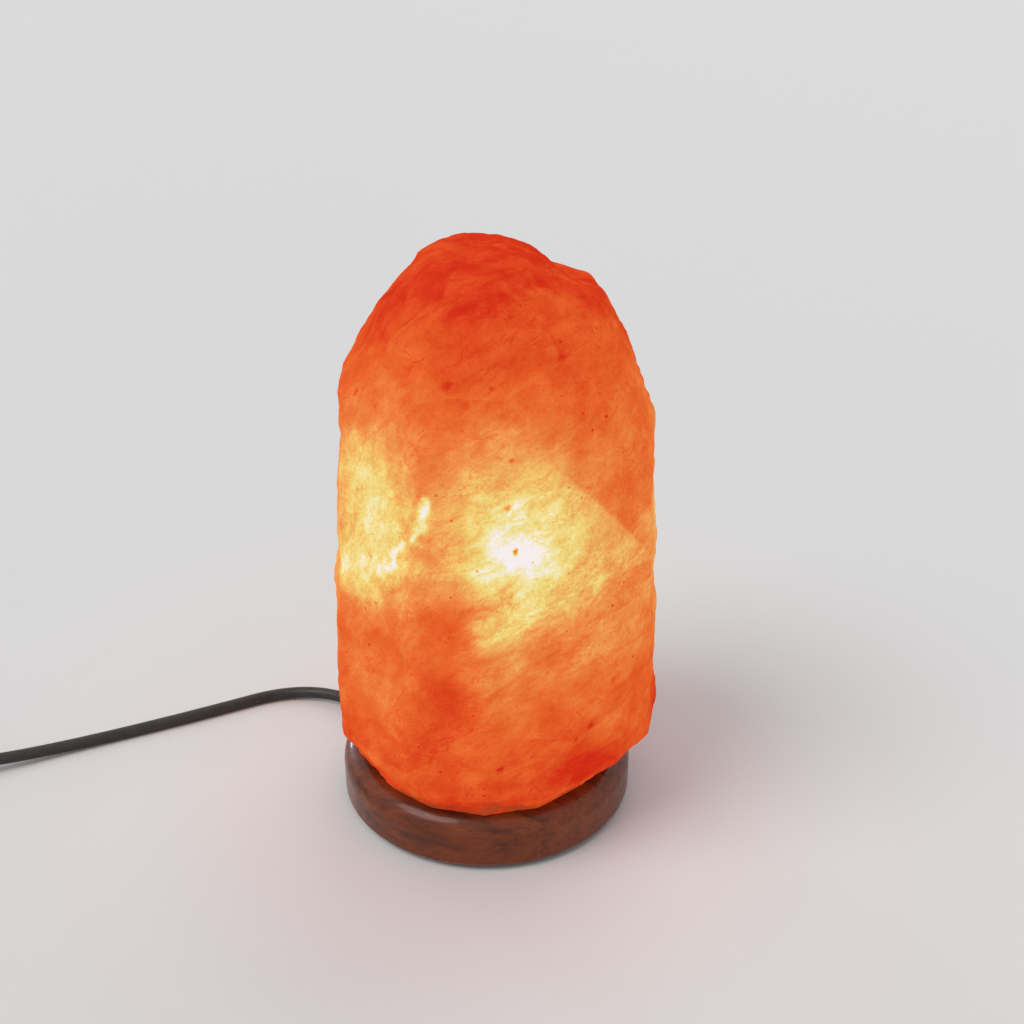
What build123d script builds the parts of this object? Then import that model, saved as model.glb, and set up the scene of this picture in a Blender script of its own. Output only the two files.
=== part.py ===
"""A salt crystal lamp: a hewn block of rock salt on a round wooden foot, lit by a small screw-in
bulb, with a corded inline switch and a flat two-pin plug.

Millimetres. The origin lies on the foot's axis, at the level of the table. +Z is up, and the
side that the photograph shows faces -Y.
"""

import math
import os

from build123d import *

# ---------------------------------------------------------------------------------- fits
SEAT_GAP = 0.05  # between pieces that are pushed or screwed together
SLIDE_GAP = 0.1  # between round pieces that turn or slide in one another
LOOSE_GAP = 0.25  # round screws in plain holes, and round the cord in its holes

# ------------------------------------------------------------------------------ the foot
PAD_THICKNESS = 2.0
PAD_OUTER_RADIUS = 53.0
PAD_WIDTH = 10.0
FOOT_DIAMETER = 115.0
FOOT_THICKNESS = 20.0
FOOT_TOP_ROUND = 8.0
FOOT_UNDER_ROUND = 1.5
BORE_DIAMETER = 42.0
CHANNEL_WIDTH = 8.0
CHANNEL_DEPTH = 8.5
FLANGE_RECESS_DEPTH = 2.7
FLANGE_RECESS_MARGIN = 1.0

# --------------------------------------------------------------------------- the crystal
CRYSTAL_WIDTH = 126.0
CRYSTAL_DEPTH = 119.0
CRYSTAL_HEIGHT = 197.0
CRYSTAL_SPOKES = 16
CRYSTAL_ROUGHNESS = 1.9
CAVITY_DIAMETER = 50.0
CAVITY_DEPTH = 112.0

# Each ring of the stone: the share of its height, how far it reaches to the left, right,
# front and back of the lamp's axis, as shares of its full width and depth, and how square
# it is: 2 is an ellipse, more is squarer.
CRYSTAL_RINGS = (
    (0.000, 0.385, 0.395, 0.440, 0.405, 2.00),
    (0.020, 0.408, 0.432, 0.462, 0.435, 2.00),
    (0.045, 0.430, 0.488, 0.477, 0.462, 2.05),
    (0.085, 0.453, 0.530, 0.495, 0.480, 2.15),
    (0.160, 0.464, 0.536, 0.507, 0.490, 2.25),
    (0.300, 0.460, 0.525, 0.505, 0.488, 2.35),
    (0.415, 0.452, 0.512, 0.497, 0.480, 2.35),
    (0.450, 0.440, 0.508, 0.494, 0.477, 2.35),
    (0.580, 0.425, 0.496, 0.482, 0.466, 2.35),
    (0.700, 0.413, 0.476, 0.465, 0.450, 2.35),
    (0.790, 0.400, 0.442, 0.440, 0.425, 2.30),
    (0.850, 0.352, 0.404, 0.405, 0.395, 2.30),
    (0.905, 0.290, 0.366, 0.370, 0.350, 2.30),
    (0.938, 0.245, 0.310, 0.338, 0.315, 2.30),
    (0.952, 0.226, 0.238, 0.325, 0.300, 2.30),
    (0.980, 0.188, 0.165, 0.295, 0.275, 2.30),
    (1.000, 0.145, 0.100, 0.240, 0.215, 2.30),
)

# Each flat that was struck off the stone: the compass angle that it faces (0 is +X, 270 is
# the front), how far it leans upwards, and how far out it lies, where 1 touches the egg that
# has the stone's width, depth and height.
CRYSTAL_FLATS = (
    (226.0, 3.0, 0.929),
    (279.0, 2.0, 0.981),
    (325.0, 4.0, 0.950),
    (20.0, 3.0, 0.949),
    (65.0, 2.0, 0.963),
    (118.0, 3.0, 0.952),
    (170.0, 4.0, 0.903),
    (203.0, 44.0, 1.136),
    (262.0, 58.0, 1.120),
    (318.0, 49.0, 1.194),
    (20.0, 50.0, 1.146),
    (95.0, 46.0, 1.170),
)

# ------------------------------------------------- screws that hold the stone on the foot
FIXING_RADIUS = 36.0
FIXING_ANGLES = (82.5, 202.5, 322.5)
FIXING_SCREW_DIAMETER = 4.0
FIXING_SCREW_LENGTH = 34.0
FIXING_HEAD_DIAMETER = 8.0
FIXING_HEAD_HEIGHT = 2.6
FIXING_HEAD_RECESS = 3.4
WALL_PLUG_DIAMETER = 6.0
WALL_PLUG_LENGTH = 24.0

# ------------------------------------------------------------------------------ the cord
CORD_DIAMETER = 5.0
CORD_RADIUS = CORD_DIAMETER / 2
CORD_LIE = 2.55  # height of the cord's middle where it lies on the table
CORD_ANGLE = 142.5  # the compass angle at which it leaves the lamp
CORD_CHANNEL_HEIGHT = 7.6  # height of the cord's middle in the foot and the holder
WIRE_DIAMETER = 1.8
WIRE_BEND = 3.0

# The cord's middle from the holder to the switch, after its first point inside the holder.
CORD_TO_SWITCH = (
    (-39.7, 30.5, CORD_CHANNEL_HEIGHT),
    (-81.6, 62.9, CORD_LIE),
    (-129.5, 38.2, CORD_LIE),
    (-172.0, 18.6, CORD_LIE),
    (-204.0, 2.9, 5.0),
    (-222.5, -3.2, 7.5),
)

# ------------------------------------------------------------------------ the lamp holder
HOLDER_RADIUS = 15.5
HOLDER_WALL = 2.0
HOLDER_SLEEVE_RADIUS = 13.0
FLANGE_RADIUS = 23.0
FLANGE_THICKNESS = 1.7
CAP_FLOOR = 2.0
CAP_TOP = 18.0  # the heights below are all above the table
SHELL_LAP = 4.0
HOLDER_SHOULDER = 40.0
HOLDER_TOP = 60.0
INSERT_DISC = 6.0
INSERT_TUBE_RADIUS = 9.9
INSERT_TUBE_WALL = 2.0
CONTACT_SHEET = 0.5
CONTACT_WIDTH = 4.0
CONTACT_SHELL_LIFT = 1.0  # above the insulating disc, clear of the centre contact
CONTACT_SHELL_HEIGHT = 17.0
SOCKET_RADIUS = 7.05  # inside of the screw shell
TERMINAL_OFFSET = 7.0
TERMINAL_SIZE = 5.0
TERMINAL_DROP = 6.0
TERMINAL_SCREW_DIAMETER = 2.5
GRIP_BAR_THICKNESS = 2.0
GRIP_BAR_WIDTH = 4.0
GRIP_SCREW_DIAMETER = 2.0
GRIP_SCREW_OFFSET = 5.0
GRIP_REACH = 9.0  # of the clamping bar from the holder's axis
CORD_END_REACH = 5.0  # of the stripped end of the cord from the holder's axis

CLIP_THICKNESS = 0.6
CLIP_WIDTH = 8.0
CLIP_BAND_HEIGHT = 5.0
CLAMP_RING_RADIUS = 16.5
CLAMP_RING_HEIGHT = 5.0
CLAMP_RING_NOTCHES = 20
CLAMP_RING_NOTCH = 1.2

CORD_CLAMP_REACH = 34.0
CORD_CLAMP_LENGTH = 24.0
CORD_CLAMP_WIDTH = 8.0
CORD_CLAMP_THICKNESS = 1.5
CORD_CLAMP_SCREW_OFFSET = 8.5
CORD_CLAMP_SCREW_LENGTH = 7.5

# ------------------------------------------------------------------------------ the bulb
BULB_TIP_HEIGHT = 47.5
BULB_LENGTH = 60.0
BULB_CAP_RADIUS = 6.95
BULB_CAP_SHEET = 0.3
BULB_SKIRT_RADIUS = 8.4
BULB_SKIRT_HEIGHT = 6.5
BULB_FLARE_HEIGHT = 2.5
BULB_SKIRT_CLEARANCE = 0.5  # above the holder when the bulb is screwed home
BULB_GLASS_DEPTH = 4.5  # of the glass in the cap's skirt
BULB_STEM_HEIGHT = 14.0
BULB_STEM_RADIUS = 3.0
BULB_STEM_TIP_RADIUS = 2.2
BULB_TIP_RADIUS = 2.4
BULB_GLASS_RADIUS = 13.0
BULB_GLASS_WALL = 0.8
BULB_NECK_RADIUS = 7.6
BULB_NECK_HEIGHT = 7.0
BULB_LEAD_DIAMETER = 0.5
BULB_LEAD_SPREAD = 5.0
FILAMENT_DIAMETER = 0.5

# ---------------------------------------------------------------------- the inline switch
SWITCH_START = (-236.0, -6.6)  # where the cord enters it
SWITCH_HEADING = 194.0
SWITCH_LENGTH = 60.0
SWITCH_WIDTH = 27.0
SWITCH_HEIGHT = 17.0
SWITCH_WALL = 1.8
SWITCH_CORNER = 6.0
SWITCH_EDGE = 1.6
SWITCH_CORD_HEIGHT = 7.5
SWITCH_CORD_REACH = 13.0
ROCKER_LENGTH = 20.0
ROCKER_WIDTH = 10.0
ROCKER_TILT = 12.0
ROCKER_GAP = 0.35
ROCKER_THICKNESS = 4.2
ROCKER_PIN_DIAMETER = 2.0
ROCKER_PIN_HEIGHT = 13.2
PLUNGER_DIAMETER = 2.4
SEE_SAW_LENGTH = 12.0
SEE_SAW_WIDTH = 4.0
SEE_SAW_SHEET = 0.8
SEE_SAW_TILT = 6.0
SEE_SAW_HEIGHT = 7.2
SEE_SAW_PIVOT_RADIUS = 0.8
SWITCH_GRIP_REACH = 8.5  # of each clamping bar from the end of the housing
SWITCH_GRIP_SCREW_OFFSET = 4.6
SWITCH_TERMINAL_REACH = 21.5
SWITCH_TERMINAL_SIDE = 5.0
SWITCH_TERMINAL_WIDTH = 5.0
SWITCH_TERMINAL_HEIGHT = 4.5
SWITCH_NEUTRAL_SIDE = -8.6
HOUSING_SCREW_SIDE = 9.2
HOUSING_SCREW_REACH = 19.0
HOUSING_SCREW_DIAMETER = 2.5
HOUSING_SCREW_LENGTH = 9.0
HOUSING_BOSS_RADIUS = 3.8
HOUSING_HEAD_RECESS = 1.5

# ------------------------------------------------------------- the coil of spare cord
COIL_ENTRY = (-344.0, -33.5)
COIL_MIDDLE_RADIUS = 30.0
COIL_TURNS_A_LAYER = 3
COIL_LAYERS = 2
COIL_PITCH = 6.5
COIL_LAYER_HEIGHT = 5.6
COIL_STRAIGHT_END = CORD_DIAMETER
COIL_RUN_IN = 12.0
SWITCH_RUN_OUT = 6.0

# ------------------------------------------------------------------------------ the plug
PLUG_START = (-314.0, 57.2)  # where the cord enters its neck
PLUG_HEADING = 4.0
PLUG_LENGTH = 34.0
PLUG_FACE_WIDTH = 35.0
PLUG_THICKNESS = 13.7
PLUG_REAR_WIDTH = 15.0
PLUG_REAR_THICKNESS = 11.0
PLUG_NECK_LENGTH = 20.0
PLUG_NECK_RADIUS = 4.4
PLUG_NECK_END_RADIUS = 3.4
PLUG_NECK_RIBS = 5
PLUG_NECK_RIB_DEPTH = 0.7
PLUG_CORD_DEPTH = 8.0
PIN_DIAMETER = 4.0
PIN_LENGTH = 19.0
PIN_SPACING = 19.0
PIN_BARE_LENGTH = 9.0
PIN_CORE_DIAMETER = 2.6
PIN_SLEEVE_DIAMETER = 3.6
PIN_ROOT_DEPTH = 8.0
PLUG_RUN_IN = 6.0

# ------------------------------------------------------------------- sizes worked out
FOOT_UNDER = PAD_THICKNESS
FOOT_TOP = FOOT_UNDER + FOOT_THICKNESS
BORE_RADIUS = BORE_DIAMETER / 2
CAVITY_RADIUS = CAVITY_DIAMETER / 2
FLANGE_TOP = FOOT_UNDER + FLANGE_RECESS_DEPTH
CAP_UNDER = FLANGE_TOP - FLANGE_THICKNESS
CAP_INNER_RADIUS = HOLDER_RADIUS - HOLDER_WALL - SEAT_GAP
SPIGOT_RADIUS = HOLDER_RADIUS - HOLDER_WALL / 2 - SEAT_GAP


# ------------------------------------------------------------------------------- helpers
STANDING = (Align.CENTER, Align.CENTER, Align.MIN)  # a primitive's low end at its origin
HANGING = (Align.CENTER, Align.CENTER, Align.MAX)  # a primitive's high end at its origin


def cylinder(radius, bottom, top):
    """An upright cylinder on the Z axis between two heights."""
    return Pos(0, 0, bottom) * Cylinder(radius, top - bottom, align=STANDING)


def tube(outer, inner, bottom, top):
    """An upright tube on the Z axis between two heights."""
    return cylinder(outer, bottom, top) - cylinder(inner, bottom - 1, top + 1)


def block(x, y, z):
    """A box given by its (low, high) pairs along X, Y and Z."""
    size = (x[1] - x[0], y[1] - y[0], z[1] - z[0])
    corner = Pos(x[0], y[0], z[0])
    return corner * Box(*size, align=(Align.MIN, Align.MIN, Align.MIN))


def turned(profile):
    """A solid of revolution round the Z axis, from (radius, height) points."""
    outline = Polyline(*[(radius, 0, height) for radius, height in profile], close=True)
    return revolve(make_face(outline), Axis.Z)


def around(angle, radius, height=0.0):
    """The place at this compass angle and radius, with its X axis pointing outwards."""
    return Rot(0, 0, angle) * Pos(radius, 0, height)


def together(pieces):
    """Several separate solids as one group."""
    return Compound(children=[solid for piece in pieces for solid in piece.solids()])


def only_solid(piece):
    """The single solid that a shape holds."""
    return piece.solids()[0]


def bend_radii(points):
    """The largest bend that each corner of a route takes: 0.45 of its shorter run."""
    radii = []
    for before, corner, after in zip(points, points[1:], points[2:]):
        arrive = Vector(corner) - Vector(before)
        leave = Vector(after) - Vector(corner)
        half_turn = math.radians(arrive.get_angle(leave)) / 2
        radii.append(0.45 * min(arrive.length, leave.length) / math.tan(half_turn))
    return radii


def swept(path, radius):
    """A round rod along a path."""
    section = Plane(origin=path @ 0, z_dir=path % 0) * Circle(radius)
    return only_solid(sweep(section, path=path))


def cord_along(points, name):
    """The cord along a route of straight runs that meet in tangent bends."""
    radii = bend_radii(points)
    path = Line(*points) if len(points) == 2 else FilletPolyline(*points, radius=radii)
    piece = swept(path, CORD_RADIUS)
    expected = math.pi * CORD_RADIUS**2 * path.length
    print(name, "bend radii", [round(radius) for radius in radii])
    print(name, "length", round(path.length, 1), "volume share", round(piece.volume / expected, 4))
    return piece


def wire_along(points):
    """One thin conductor along a route."""
    path = FilletPolyline(*points, radius=WIRE_BEND)
    return swept(path, WIRE_DIAMETER / 2)


def round_screw(diameter, length, head_diameter, head_height):
    """A screw that points up from z = 0, its head just below, with a cross recess."""
    shank = cylinder(diameter / 2, 0, length - diameter / 2)
    point = Pos(0, 0, length - diameter / 2) * Cone(
        diameter / 2, diameter / 8, diameter / 2, align=STANDING
    )
    head = cylinder(head_diameter / 2, -head_height, 0)
    head = fillet(head.edges().group_by(Axis.Z)[0], head_height * 0.4)
    slot = Box(head_diameter * 0.55, head_diameter * 0.14, head_height)
    recess = Pos(0, 0, -head_height) * (slot + Rot(0, 0, 90) * slot)
    return shank + point + head - recess


def upside_down(piece, height):
    """The piece turned over, with what was at z = 0 put at this height."""
    return Pos(0, 0, height) * Rot(180, 0, 0) * piece


# ------------------------------------------------------------------------------ the foot
def fixing_places(height):
    """Where the three long screws stand."""
    return [around(angle, FIXING_RADIUS, height) for angle in FIXING_ANGLES]


def cord_channel():
    """The round-roofed channel that the cord lies in, from the bore out past the rim."""
    half = CHANNEL_WIDTH / 2
    roof = FOOT_UNDER + CHANNEL_DEPTH - half
    length = FOOT_DIAMETER / 2
    slot = block((0, length), (-half, half), (-1, roof))
    roof_rod = Pos(0, 0, roof) * Rot(0, 90, 0) * Cylinder(
        half, length, align=STANDING
    )
    return Rot(0, 0, CORD_ANGLE) * (slot + roof_rod)


def wooden_base():
    """The turned foot, with the bore for the holder and the cord's channel underneath."""
    foot = cylinder(FOOT_DIAMETER / 2, FOOT_UNDER, FOOT_TOP)
    foot = fillet(foot.edges().group_by(Axis.Z)[-1], FOOT_TOP_ROUND)
    foot = fillet(foot.edges().group_by(Axis.Z)[0], FOOT_UNDER_ROUND)
    foot -= cylinder(BORE_RADIUS, FOOT_UNDER - 1, FOOT_TOP + 1)
    foot -= cylinder(FLANGE_RADIUS + FLANGE_RECESS_MARGIN, FOOT_UNDER - 1, FLANGE_TOP)
    foot -= cord_channel()
    hole = cylinder(FIXING_SCREW_DIAMETER / 2 + LOOSE_GAP, FOOT_UNDER - 1, FOOT_TOP + 1)
    recess = cylinder(FIXING_HEAD_DIAMETER / 2 + LOOSE_GAP, FOOT_UNDER - 1, FOOT_UNDER + FIXING_HEAD_RECESS)
    for place in fixing_places(0):
        foot -= place * (hole + recess)
    for side in (-1, 1):
        foot -= cord_clamp_place() * Pos(0, side * CORD_CLAMP_SCREW_OFFSET, 0) * cylinder(
            GRIP_SCREW_DIAMETER / 2 + SEAT_GAP, FOOT_UNDER - 1, FOOT_UNDER + FLANGE_RECESS_DEPTH + 6
        )
    return foot


def base_pad():
    """The soft ring that the foot stands on, cut through where the cord passes."""
    ring = tube(PAD_OUTER_RADIUS, PAD_OUTER_RADIUS - PAD_WIDTH, 0, PAD_THICKNESS)
    gap = block((0, FOOT_DIAMETER), (-CHANNEL_WIDTH, CHANNEL_WIDTH), (-1, PAD_THICKNESS + 1))
    return ring - Rot(0, 0, CORD_ANGLE) * gap


def base_screws():
    """The three long screws, their heads sunk into the underside of the foot."""
    screw = round_screw(
        FIXING_SCREW_DIAMETER, FIXING_SCREW_LENGTH, FIXING_HEAD_DIAMETER, FIXING_HEAD_HEIGHT
    )
    return together([place * screw for place in fixing_places(FOOT_UNDER + FIXING_HEAD_RECESS)])


def wall_plugs():
    """The three nylon plugs in the stone, each split along its upper half."""
    bore = FIXING_SCREW_DIAMETER / 2 + SEAT_GAP
    plug = tube(WALL_PLUG_DIAMETER / 2, bore, 0, WALL_PLUG_LENGTH)
    slit = block((-bore, WALL_PLUG_DIAMETER), (-0.4, 0.4), (WALL_PLUG_LENGTH / 3, WALL_PLUG_LENGTH + 1))
    return together([place * (plug - slit) for place in fixing_places(FOOT_TOP)])


def cord_clamp_place():
    """The middle of the clamping bar under the foot, its X axis along the cord."""
    return around(CORD_ANGLE, CORD_CLAMP_REACH)


def cord_clamp():
    """The bar across the cord's channel, with a rib that presses the cord up."""
    half = CORD_CLAMP_WIDTH / 2
    bar = block(
        (-half, half),
        (-CORD_CLAMP_LENGTH / 2, CORD_CLAMP_LENGTH / 2),
        (FOOT_UNDER - CORD_CLAMP_THICKNESS, FOOT_UNDER),
    )
    bar = fillet(bar.edges().filter_by(Axis.Z), half * 0.6)
    rib_half = CHANNEL_WIDTH / 2 - LOOSE_GAP
    rib_top = CORD_CHANNEL_HEIGHT - CORD_RADIUS - SEAT_GAP
    bar += block((-half / 2, half / 2), (-rib_half, rib_half), (FOOT_UNDER, rib_top))
    hole = cylinder(GRIP_SCREW_DIAMETER / 2 + SLIDE_GAP, 0, FOOT_UNDER + 1)
    for side in (-1, 1):
        bar -= Pos(0, side * CORD_CLAMP_SCREW_OFFSET, 0) * hole
    return cord_clamp_place() * bar


def cord_clamp_screws():
    """The two small screws of the cord's clamping bar."""
    head_height = FOOT_UNDER - CORD_CLAMP_THICKNESS - 0.1
    screw = round_screw(
        GRIP_SCREW_DIAMETER, CORD_CLAMP_SCREW_LENGTH, 2 * GRIP_SCREW_DIAMETER, head_height
    )
    under = FOOT_UNDER - CORD_CLAMP_THICKNESS
    places = [Pos(0, side * CORD_CLAMP_SCREW_OFFSET, under) for side in (-1, 1)]
    return together([cord_clamp_place() * place * screw for place in places])


# --------------------------------------------------------------------------- the crystal
def ring_points(number):
    """The corners of one ring of the stone, a squared oval that is slightly uneven."""
    share, left, right, front, back, square = CRYSTAL_RINGS[number]
    height = FOOT_TOP + share * CRYSTAL_HEIGHT
    points = []
    for spoke in range(CRYSTAL_SPOKES):
        angle = 2 * math.pi * spoke / CRYSTAL_SPOKES
        across, along = math.cos(angle), math.sin(angle)
        reach_x = (right if across > 0 else left) * CRYSTAL_WIDTH
        reach_y = (back if along > 0 else front) * CRYSTAL_DEPTH
        x = reach_x * math.copysign(abs(across) ** (2 / square), across)
        y = reach_y * math.copysign(abs(along) ** (2 / square), along)
        uneven = CRYSTAL_ROUGHNESS * math.sin(2.3 * spoke + 1.9 * number) * math.cos(1.1 * spoke - number)
        stretch = 1 + uneven / math.hypot(x, y)
        points.append(Vector(x * stretch, y * stretch, height))
    return points


def flat_faces(corners):
    """Triangles between neighbouring rings, with the diagonals leaning to and fro."""
    faces = []
    for number, (lower, upper) in enumerate(zip(corners, corners[1:])):
        for spoke in range(CRYSTAL_SPOKES):
            after = (spoke + 1) % CRYSTAL_SPOKES
            a, b, c, d = lower[spoke], lower[after], upper[after], upper[spoke]
            halves = ((a, b, c), (a, c, d)) if (spoke + number) % 2 else ((a, b, d), (b, c, d))
            faces += [Face(Wire.make_polygon(half)) for half in halves]
    return faces


def rough_stone():
    """The stone before its flats are struck: rings of corners joined by small triangles."""
    corners = [ring_points(number) for number in range(len(CRYSTAL_RINGS))]
    ends = [Face(Wire.make_polygon(corners[0])), Face(Wire.make_polygon(corners[-1]))]
    return Solid(Shell(flat_faces(corners) + ends))


def strike_flats(stone):
    """Cuts each large flat off the stone."""
    low, high = stone.bounding_box().min, stone.bounding_box().max
    middle = (low + high) * 0.5
    for compass, lean, share in CRYSTAL_FLATS:
        turn, rise = math.radians(compass), math.radians(lean)
        normal = Vector(
            math.cos(turn) * math.cos(rise), math.sin(turn) * math.cos(rise), math.sin(rise)
        )
        egg = Vector(
            normal.X * CRYSTAL_WIDTH / 2, normal.Y * CRYSTAL_DEPTH / 2, normal.Z * CRYSTAL_HEIGHT / 2
        )
        flat = Plane(origin=middle + normal * egg.length * share, z_dir=normal)
        stone = split(stone, bisect_by=flat, keep=Keep.BOTTOM)
    return stone


def cavity():
    """The drilled hollow for the bulb, with the flat end that a core drill leaves."""
    return cylinder(CAVITY_RADIUS, FOOT_TOP - 1, FOOT_TOP + CAVITY_DEPTH)


def salt_crystal():
    """The hewn stone, with the bulb's hollow and three holes for the wall plugs."""
    stone = strike_flats(rough_stone())
    stone -= cavity()
    depth = max(WALL_PLUG_LENGTH, FIXING_SCREW_LENGTH + FIXING_HEAD_RECESS - FOOT_THICKNESS) + 2
    hole = cylinder(WALL_PLUG_DIAMETER / 2 + SEAT_GAP, -1, depth)
    for place in fixing_places(FOOT_TOP):
        stone -= place * hole
    return stone


# ------------------------------------------------------------------------ the lamp holder
def cap_posts():
    """Where the two screws of the cord grip stand in the holder's cap."""
    return [
        Rot(0, 0, CORD_ANGLE) * Pos(GRIP_REACH, side * GRIP_SCREW_OFFSET, 0) for side in (-1, 1)
    ]


def holder_cap():
    """The lower half of the holder: a cup on a flange that meets the foot from below."""
    floor = CAP_UNDER + CAP_FLOOR
    cap = cylinder(FLANGE_RADIUS, CAP_UNDER, FLANGE_TOP)
    cap += cylinder(HOLDER_RADIUS, CAP_UNDER, CAP_TOP - SHELL_LAP)
    cap += cylinder(SPIGOT_RADIUS, CAP_TOP - SHELL_LAP, CAP_TOP)
    cap -= cylinder(CAP_INNER_RADIUS, floor, CAP_TOP + 1)
    bar_seat = CORD_CHANNEL_HEIGHT + CORD_RADIUS
    for place in cap_posts():
        post = cylinder(GRIP_SCREW_DIAMETER, floor, bar_seat)
        cap += place * post
        cap -= place * cylinder(GRIP_SCREW_DIAMETER / 2 + SEAT_GAP, floor, bar_seat + 1)
    cap -= cord_hole(HOLDER_RADIUS + 1)
    return cap


def cord_hole(length):
    """A round hole for the cord, from the holder's axis outwards."""
    hole = Cylinder(CORD_RADIUS + LOOSE_GAP / 2, length, align=STANDING)
    return Rot(0, 0, CORD_ANGLE) * Pos(0, 0, CORD_CHANNEL_HEIGHT) * Rot(0, 90, 0) * hole


def holder_shell():
    """The upper half of the holder, with a shoulder that carries the spring clip."""
    shell = cylinder(HOLDER_RADIUS, CAP_TOP - SHELL_LAP, HOLDER_SHOULDER)
    shell = fillet(shell.edges().group_by(Axis.Z)[-1], HOLDER_WALL / 2)
    shell += cylinder(HOLDER_SLEEVE_RADIUS, HOLDER_SHOULDER - 1, HOLDER_TOP)
    shell -= cylinder(SPIGOT_RADIUS + SEAT_GAP, CAP_TOP - SHELL_LAP - 1, CAP_TOP + SEAT_GAP)
    shell -= cylinder(HOLDER_RADIUS - HOLDER_WALL, CAP_TOP - 1, socket_floor())
    shell -= cylinder(INSERT_TUBE_RADIUS + LOOSE_GAP, socket_floor() - 1, HOLDER_TOP + 1)
    return shell


def holder_insert():
    """The insulating body: a skirt on the cap's rim, a disc, and a tube round the socket."""
    outer = HOLDER_RADIUS - HOLDER_WALL - SLIDE_GAP
    floor = socket_floor()
    insert = cylinder(outer, CAP_TOP, floor)
    insert -= cylinder(outer - HOLDER_WALL, CAP_TOP - 1, disc_under())
    insert += tube(INSERT_TUBE_RADIUS, INSERT_TUBE_RADIUS - INSERT_TUBE_WALL, floor - 1, HOLDER_TOP)
    for side in (-1, 1):
        insert -= contact_strip(side, floor, SLIDE_GAP)
    return insert


def socket_floor():
    """The height of the insulating disc's top, which is the floor of the socket."""
    return HOLDER_SHOULDER - HOLDER_WALL


def disc_under():
    """The height of the insulating disc's underside."""
    return socket_floor() - INSERT_DISC


def terminal_place(side):
    """The middle of a terminal under the disc, on either side of the holder's axis."""
    return Rot(0, 0, CORD_ANGLE) * Pos(0, side * TERMINAL_OFFSET, disc_under())


def contact_strip(side, top, gap=0.0):
    """The flat strip that leads a contact down through the disc to its terminal."""
    half = CONTACT_WIDTH / 2 + gap
    middle = TERMINAL_OFFSET
    reach = CONTACT_SHEET / 2 + gap
    strip = block((-half, half), (middle - reach, middle + reach), (disc_under() - gap, top + gap))
    return Rot(0, 0, CORD_ANGLE + (0 if side > 0 else 180)) * strip


def contact_shell():
    """The thin brass sleeve that the bulb's cap screws into, and its strip."""
    outer = SOCKET_RADIUS + CONTACT_SHEET
    bottom = socket_floor() + CONTACT_SHELL_LIFT
    shell = tube(outer, SOCKET_RADIUS, bottom, bottom + CONTACT_SHELL_HEIGHT)
    return shell + contact_strip(1, bottom + CONTACT_SHEET)


def centre_contact():
    """The brass tongue under the bulb's tip: a strip, a flat and a sprung leaf."""
    half = CONTACT_WIDTH / 2
    floor = socket_floor() + SEAT_GAP
    sheet = CONTACT_SHEET
    reach = TERMINAL_OFFSET + sheet / 2
    rise = BULB_TIP_HEIGHT - SEAT_GAP
    leaf = Polyline(
        (-reach, floor), (2.0, floor), (5.0, floor + 3.0), (1.5, rise), (-1.5, rise),
        (-1.5, rise - sheet), (1.2, rise - sheet),
        (4.3, floor + 3.0), (1.8, floor + sheet), (-reach, floor + sheet),
        close=True,
    )
    profile = Plane(origin=(-half, 0, 0), x_dir=(0, 1, 0), z_dir=(1, 0, 0)) * make_face(leaf)
    tongue = extrude(profile, amount=2 * half)
    return Rot(0, 0, CORD_ANGLE) * tongue + contact_strip(-1, floor + sheet)


def holder_terminals():
    """The two brass blocks under the disc that the wires are clamped in."""
    half = TERMINAL_SIZE / 2
    pieces = []
    for side in (-1, 1):
        terminal = block((-half, half), (-half, half), (-TERMINAL_DROP, 0))
        terminal -= cylinder(WIRE_DIAMETER / 2 + SEAT_GAP, -TERMINAL_DROP - 1, -1)
        screw_hole = Cylinder(TERMINAL_SCREW_DIAMETER / 2 + SEAT_GAP, TERMINAL_SIZE)
        terminal -= Pos(-half, 0, -TERMINAL_DROP / 2) * Rot(0, 90, 0) * screw_hole
        pieces.append(terminal_place(side) * terminal)
    return together(pieces)


def terminal_screws():
    """The two screws that press the wires in their terminals."""
    half = TERMINAL_SIZE / 2
    length = half - WIRE_DIAMETER / 2 - SLIDE_GAP
    screw = round_screw(TERMINAL_SCREW_DIAMETER, length, TERMINAL_SCREW_DIAMETER * 1.5, 1.2)
    return together(
        [
            terminal_place(side) * Pos(-half, 0, -TERMINAL_DROP / 2) * Rot(0, 90, 0) * screw
            for side in (-1, 1)
        ]
    )


def holder_cord_grip():
    """The bar that holds the cord down in the holder's cap."""
    half = GRIP_BAR_WIDTH / 2
    reach = GRIP_SCREW_OFFSET + GRIP_SCREW_DIAMETER
    seat = CORD_CHANNEL_HEIGHT + CORD_RADIUS + SEAT_GAP
    bar = block((-half, half), (-reach, reach), (seat, seat + GRIP_BAR_THICKNESS))
    bar = fillet(bar.edges().filter_by(Axis.Z), half * 0.6)
    hole = cylinder(GRIP_SCREW_DIAMETER / 2 + SLIDE_GAP, seat - 1, seat + GRIP_BAR_THICKNESS + 1)
    for side in (-1, 1):
        bar -= Pos(0, side * GRIP_SCREW_OFFSET, 0) * hole
    return Rot(0, 0, CORD_ANGLE) * Pos(GRIP_REACH, 0, 0) * bar


def holder_grip_screws():
    """The two screws of the cord grip in the holder."""
    seat = CORD_CHANNEL_HEIGHT + CORD_RADIUS + SEAT_GAP + GRIP_BAR_THICKNESS
    screw = round_screw(GRIP_SCREW_DIAMETER, GRIP_BAR_THICKNESS + 4, 1.8 * GRIP_SCREW_DIAMETER, 1.2)
    return together([place * upside_down(screw, seat) for place in cap_posts()])


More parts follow.
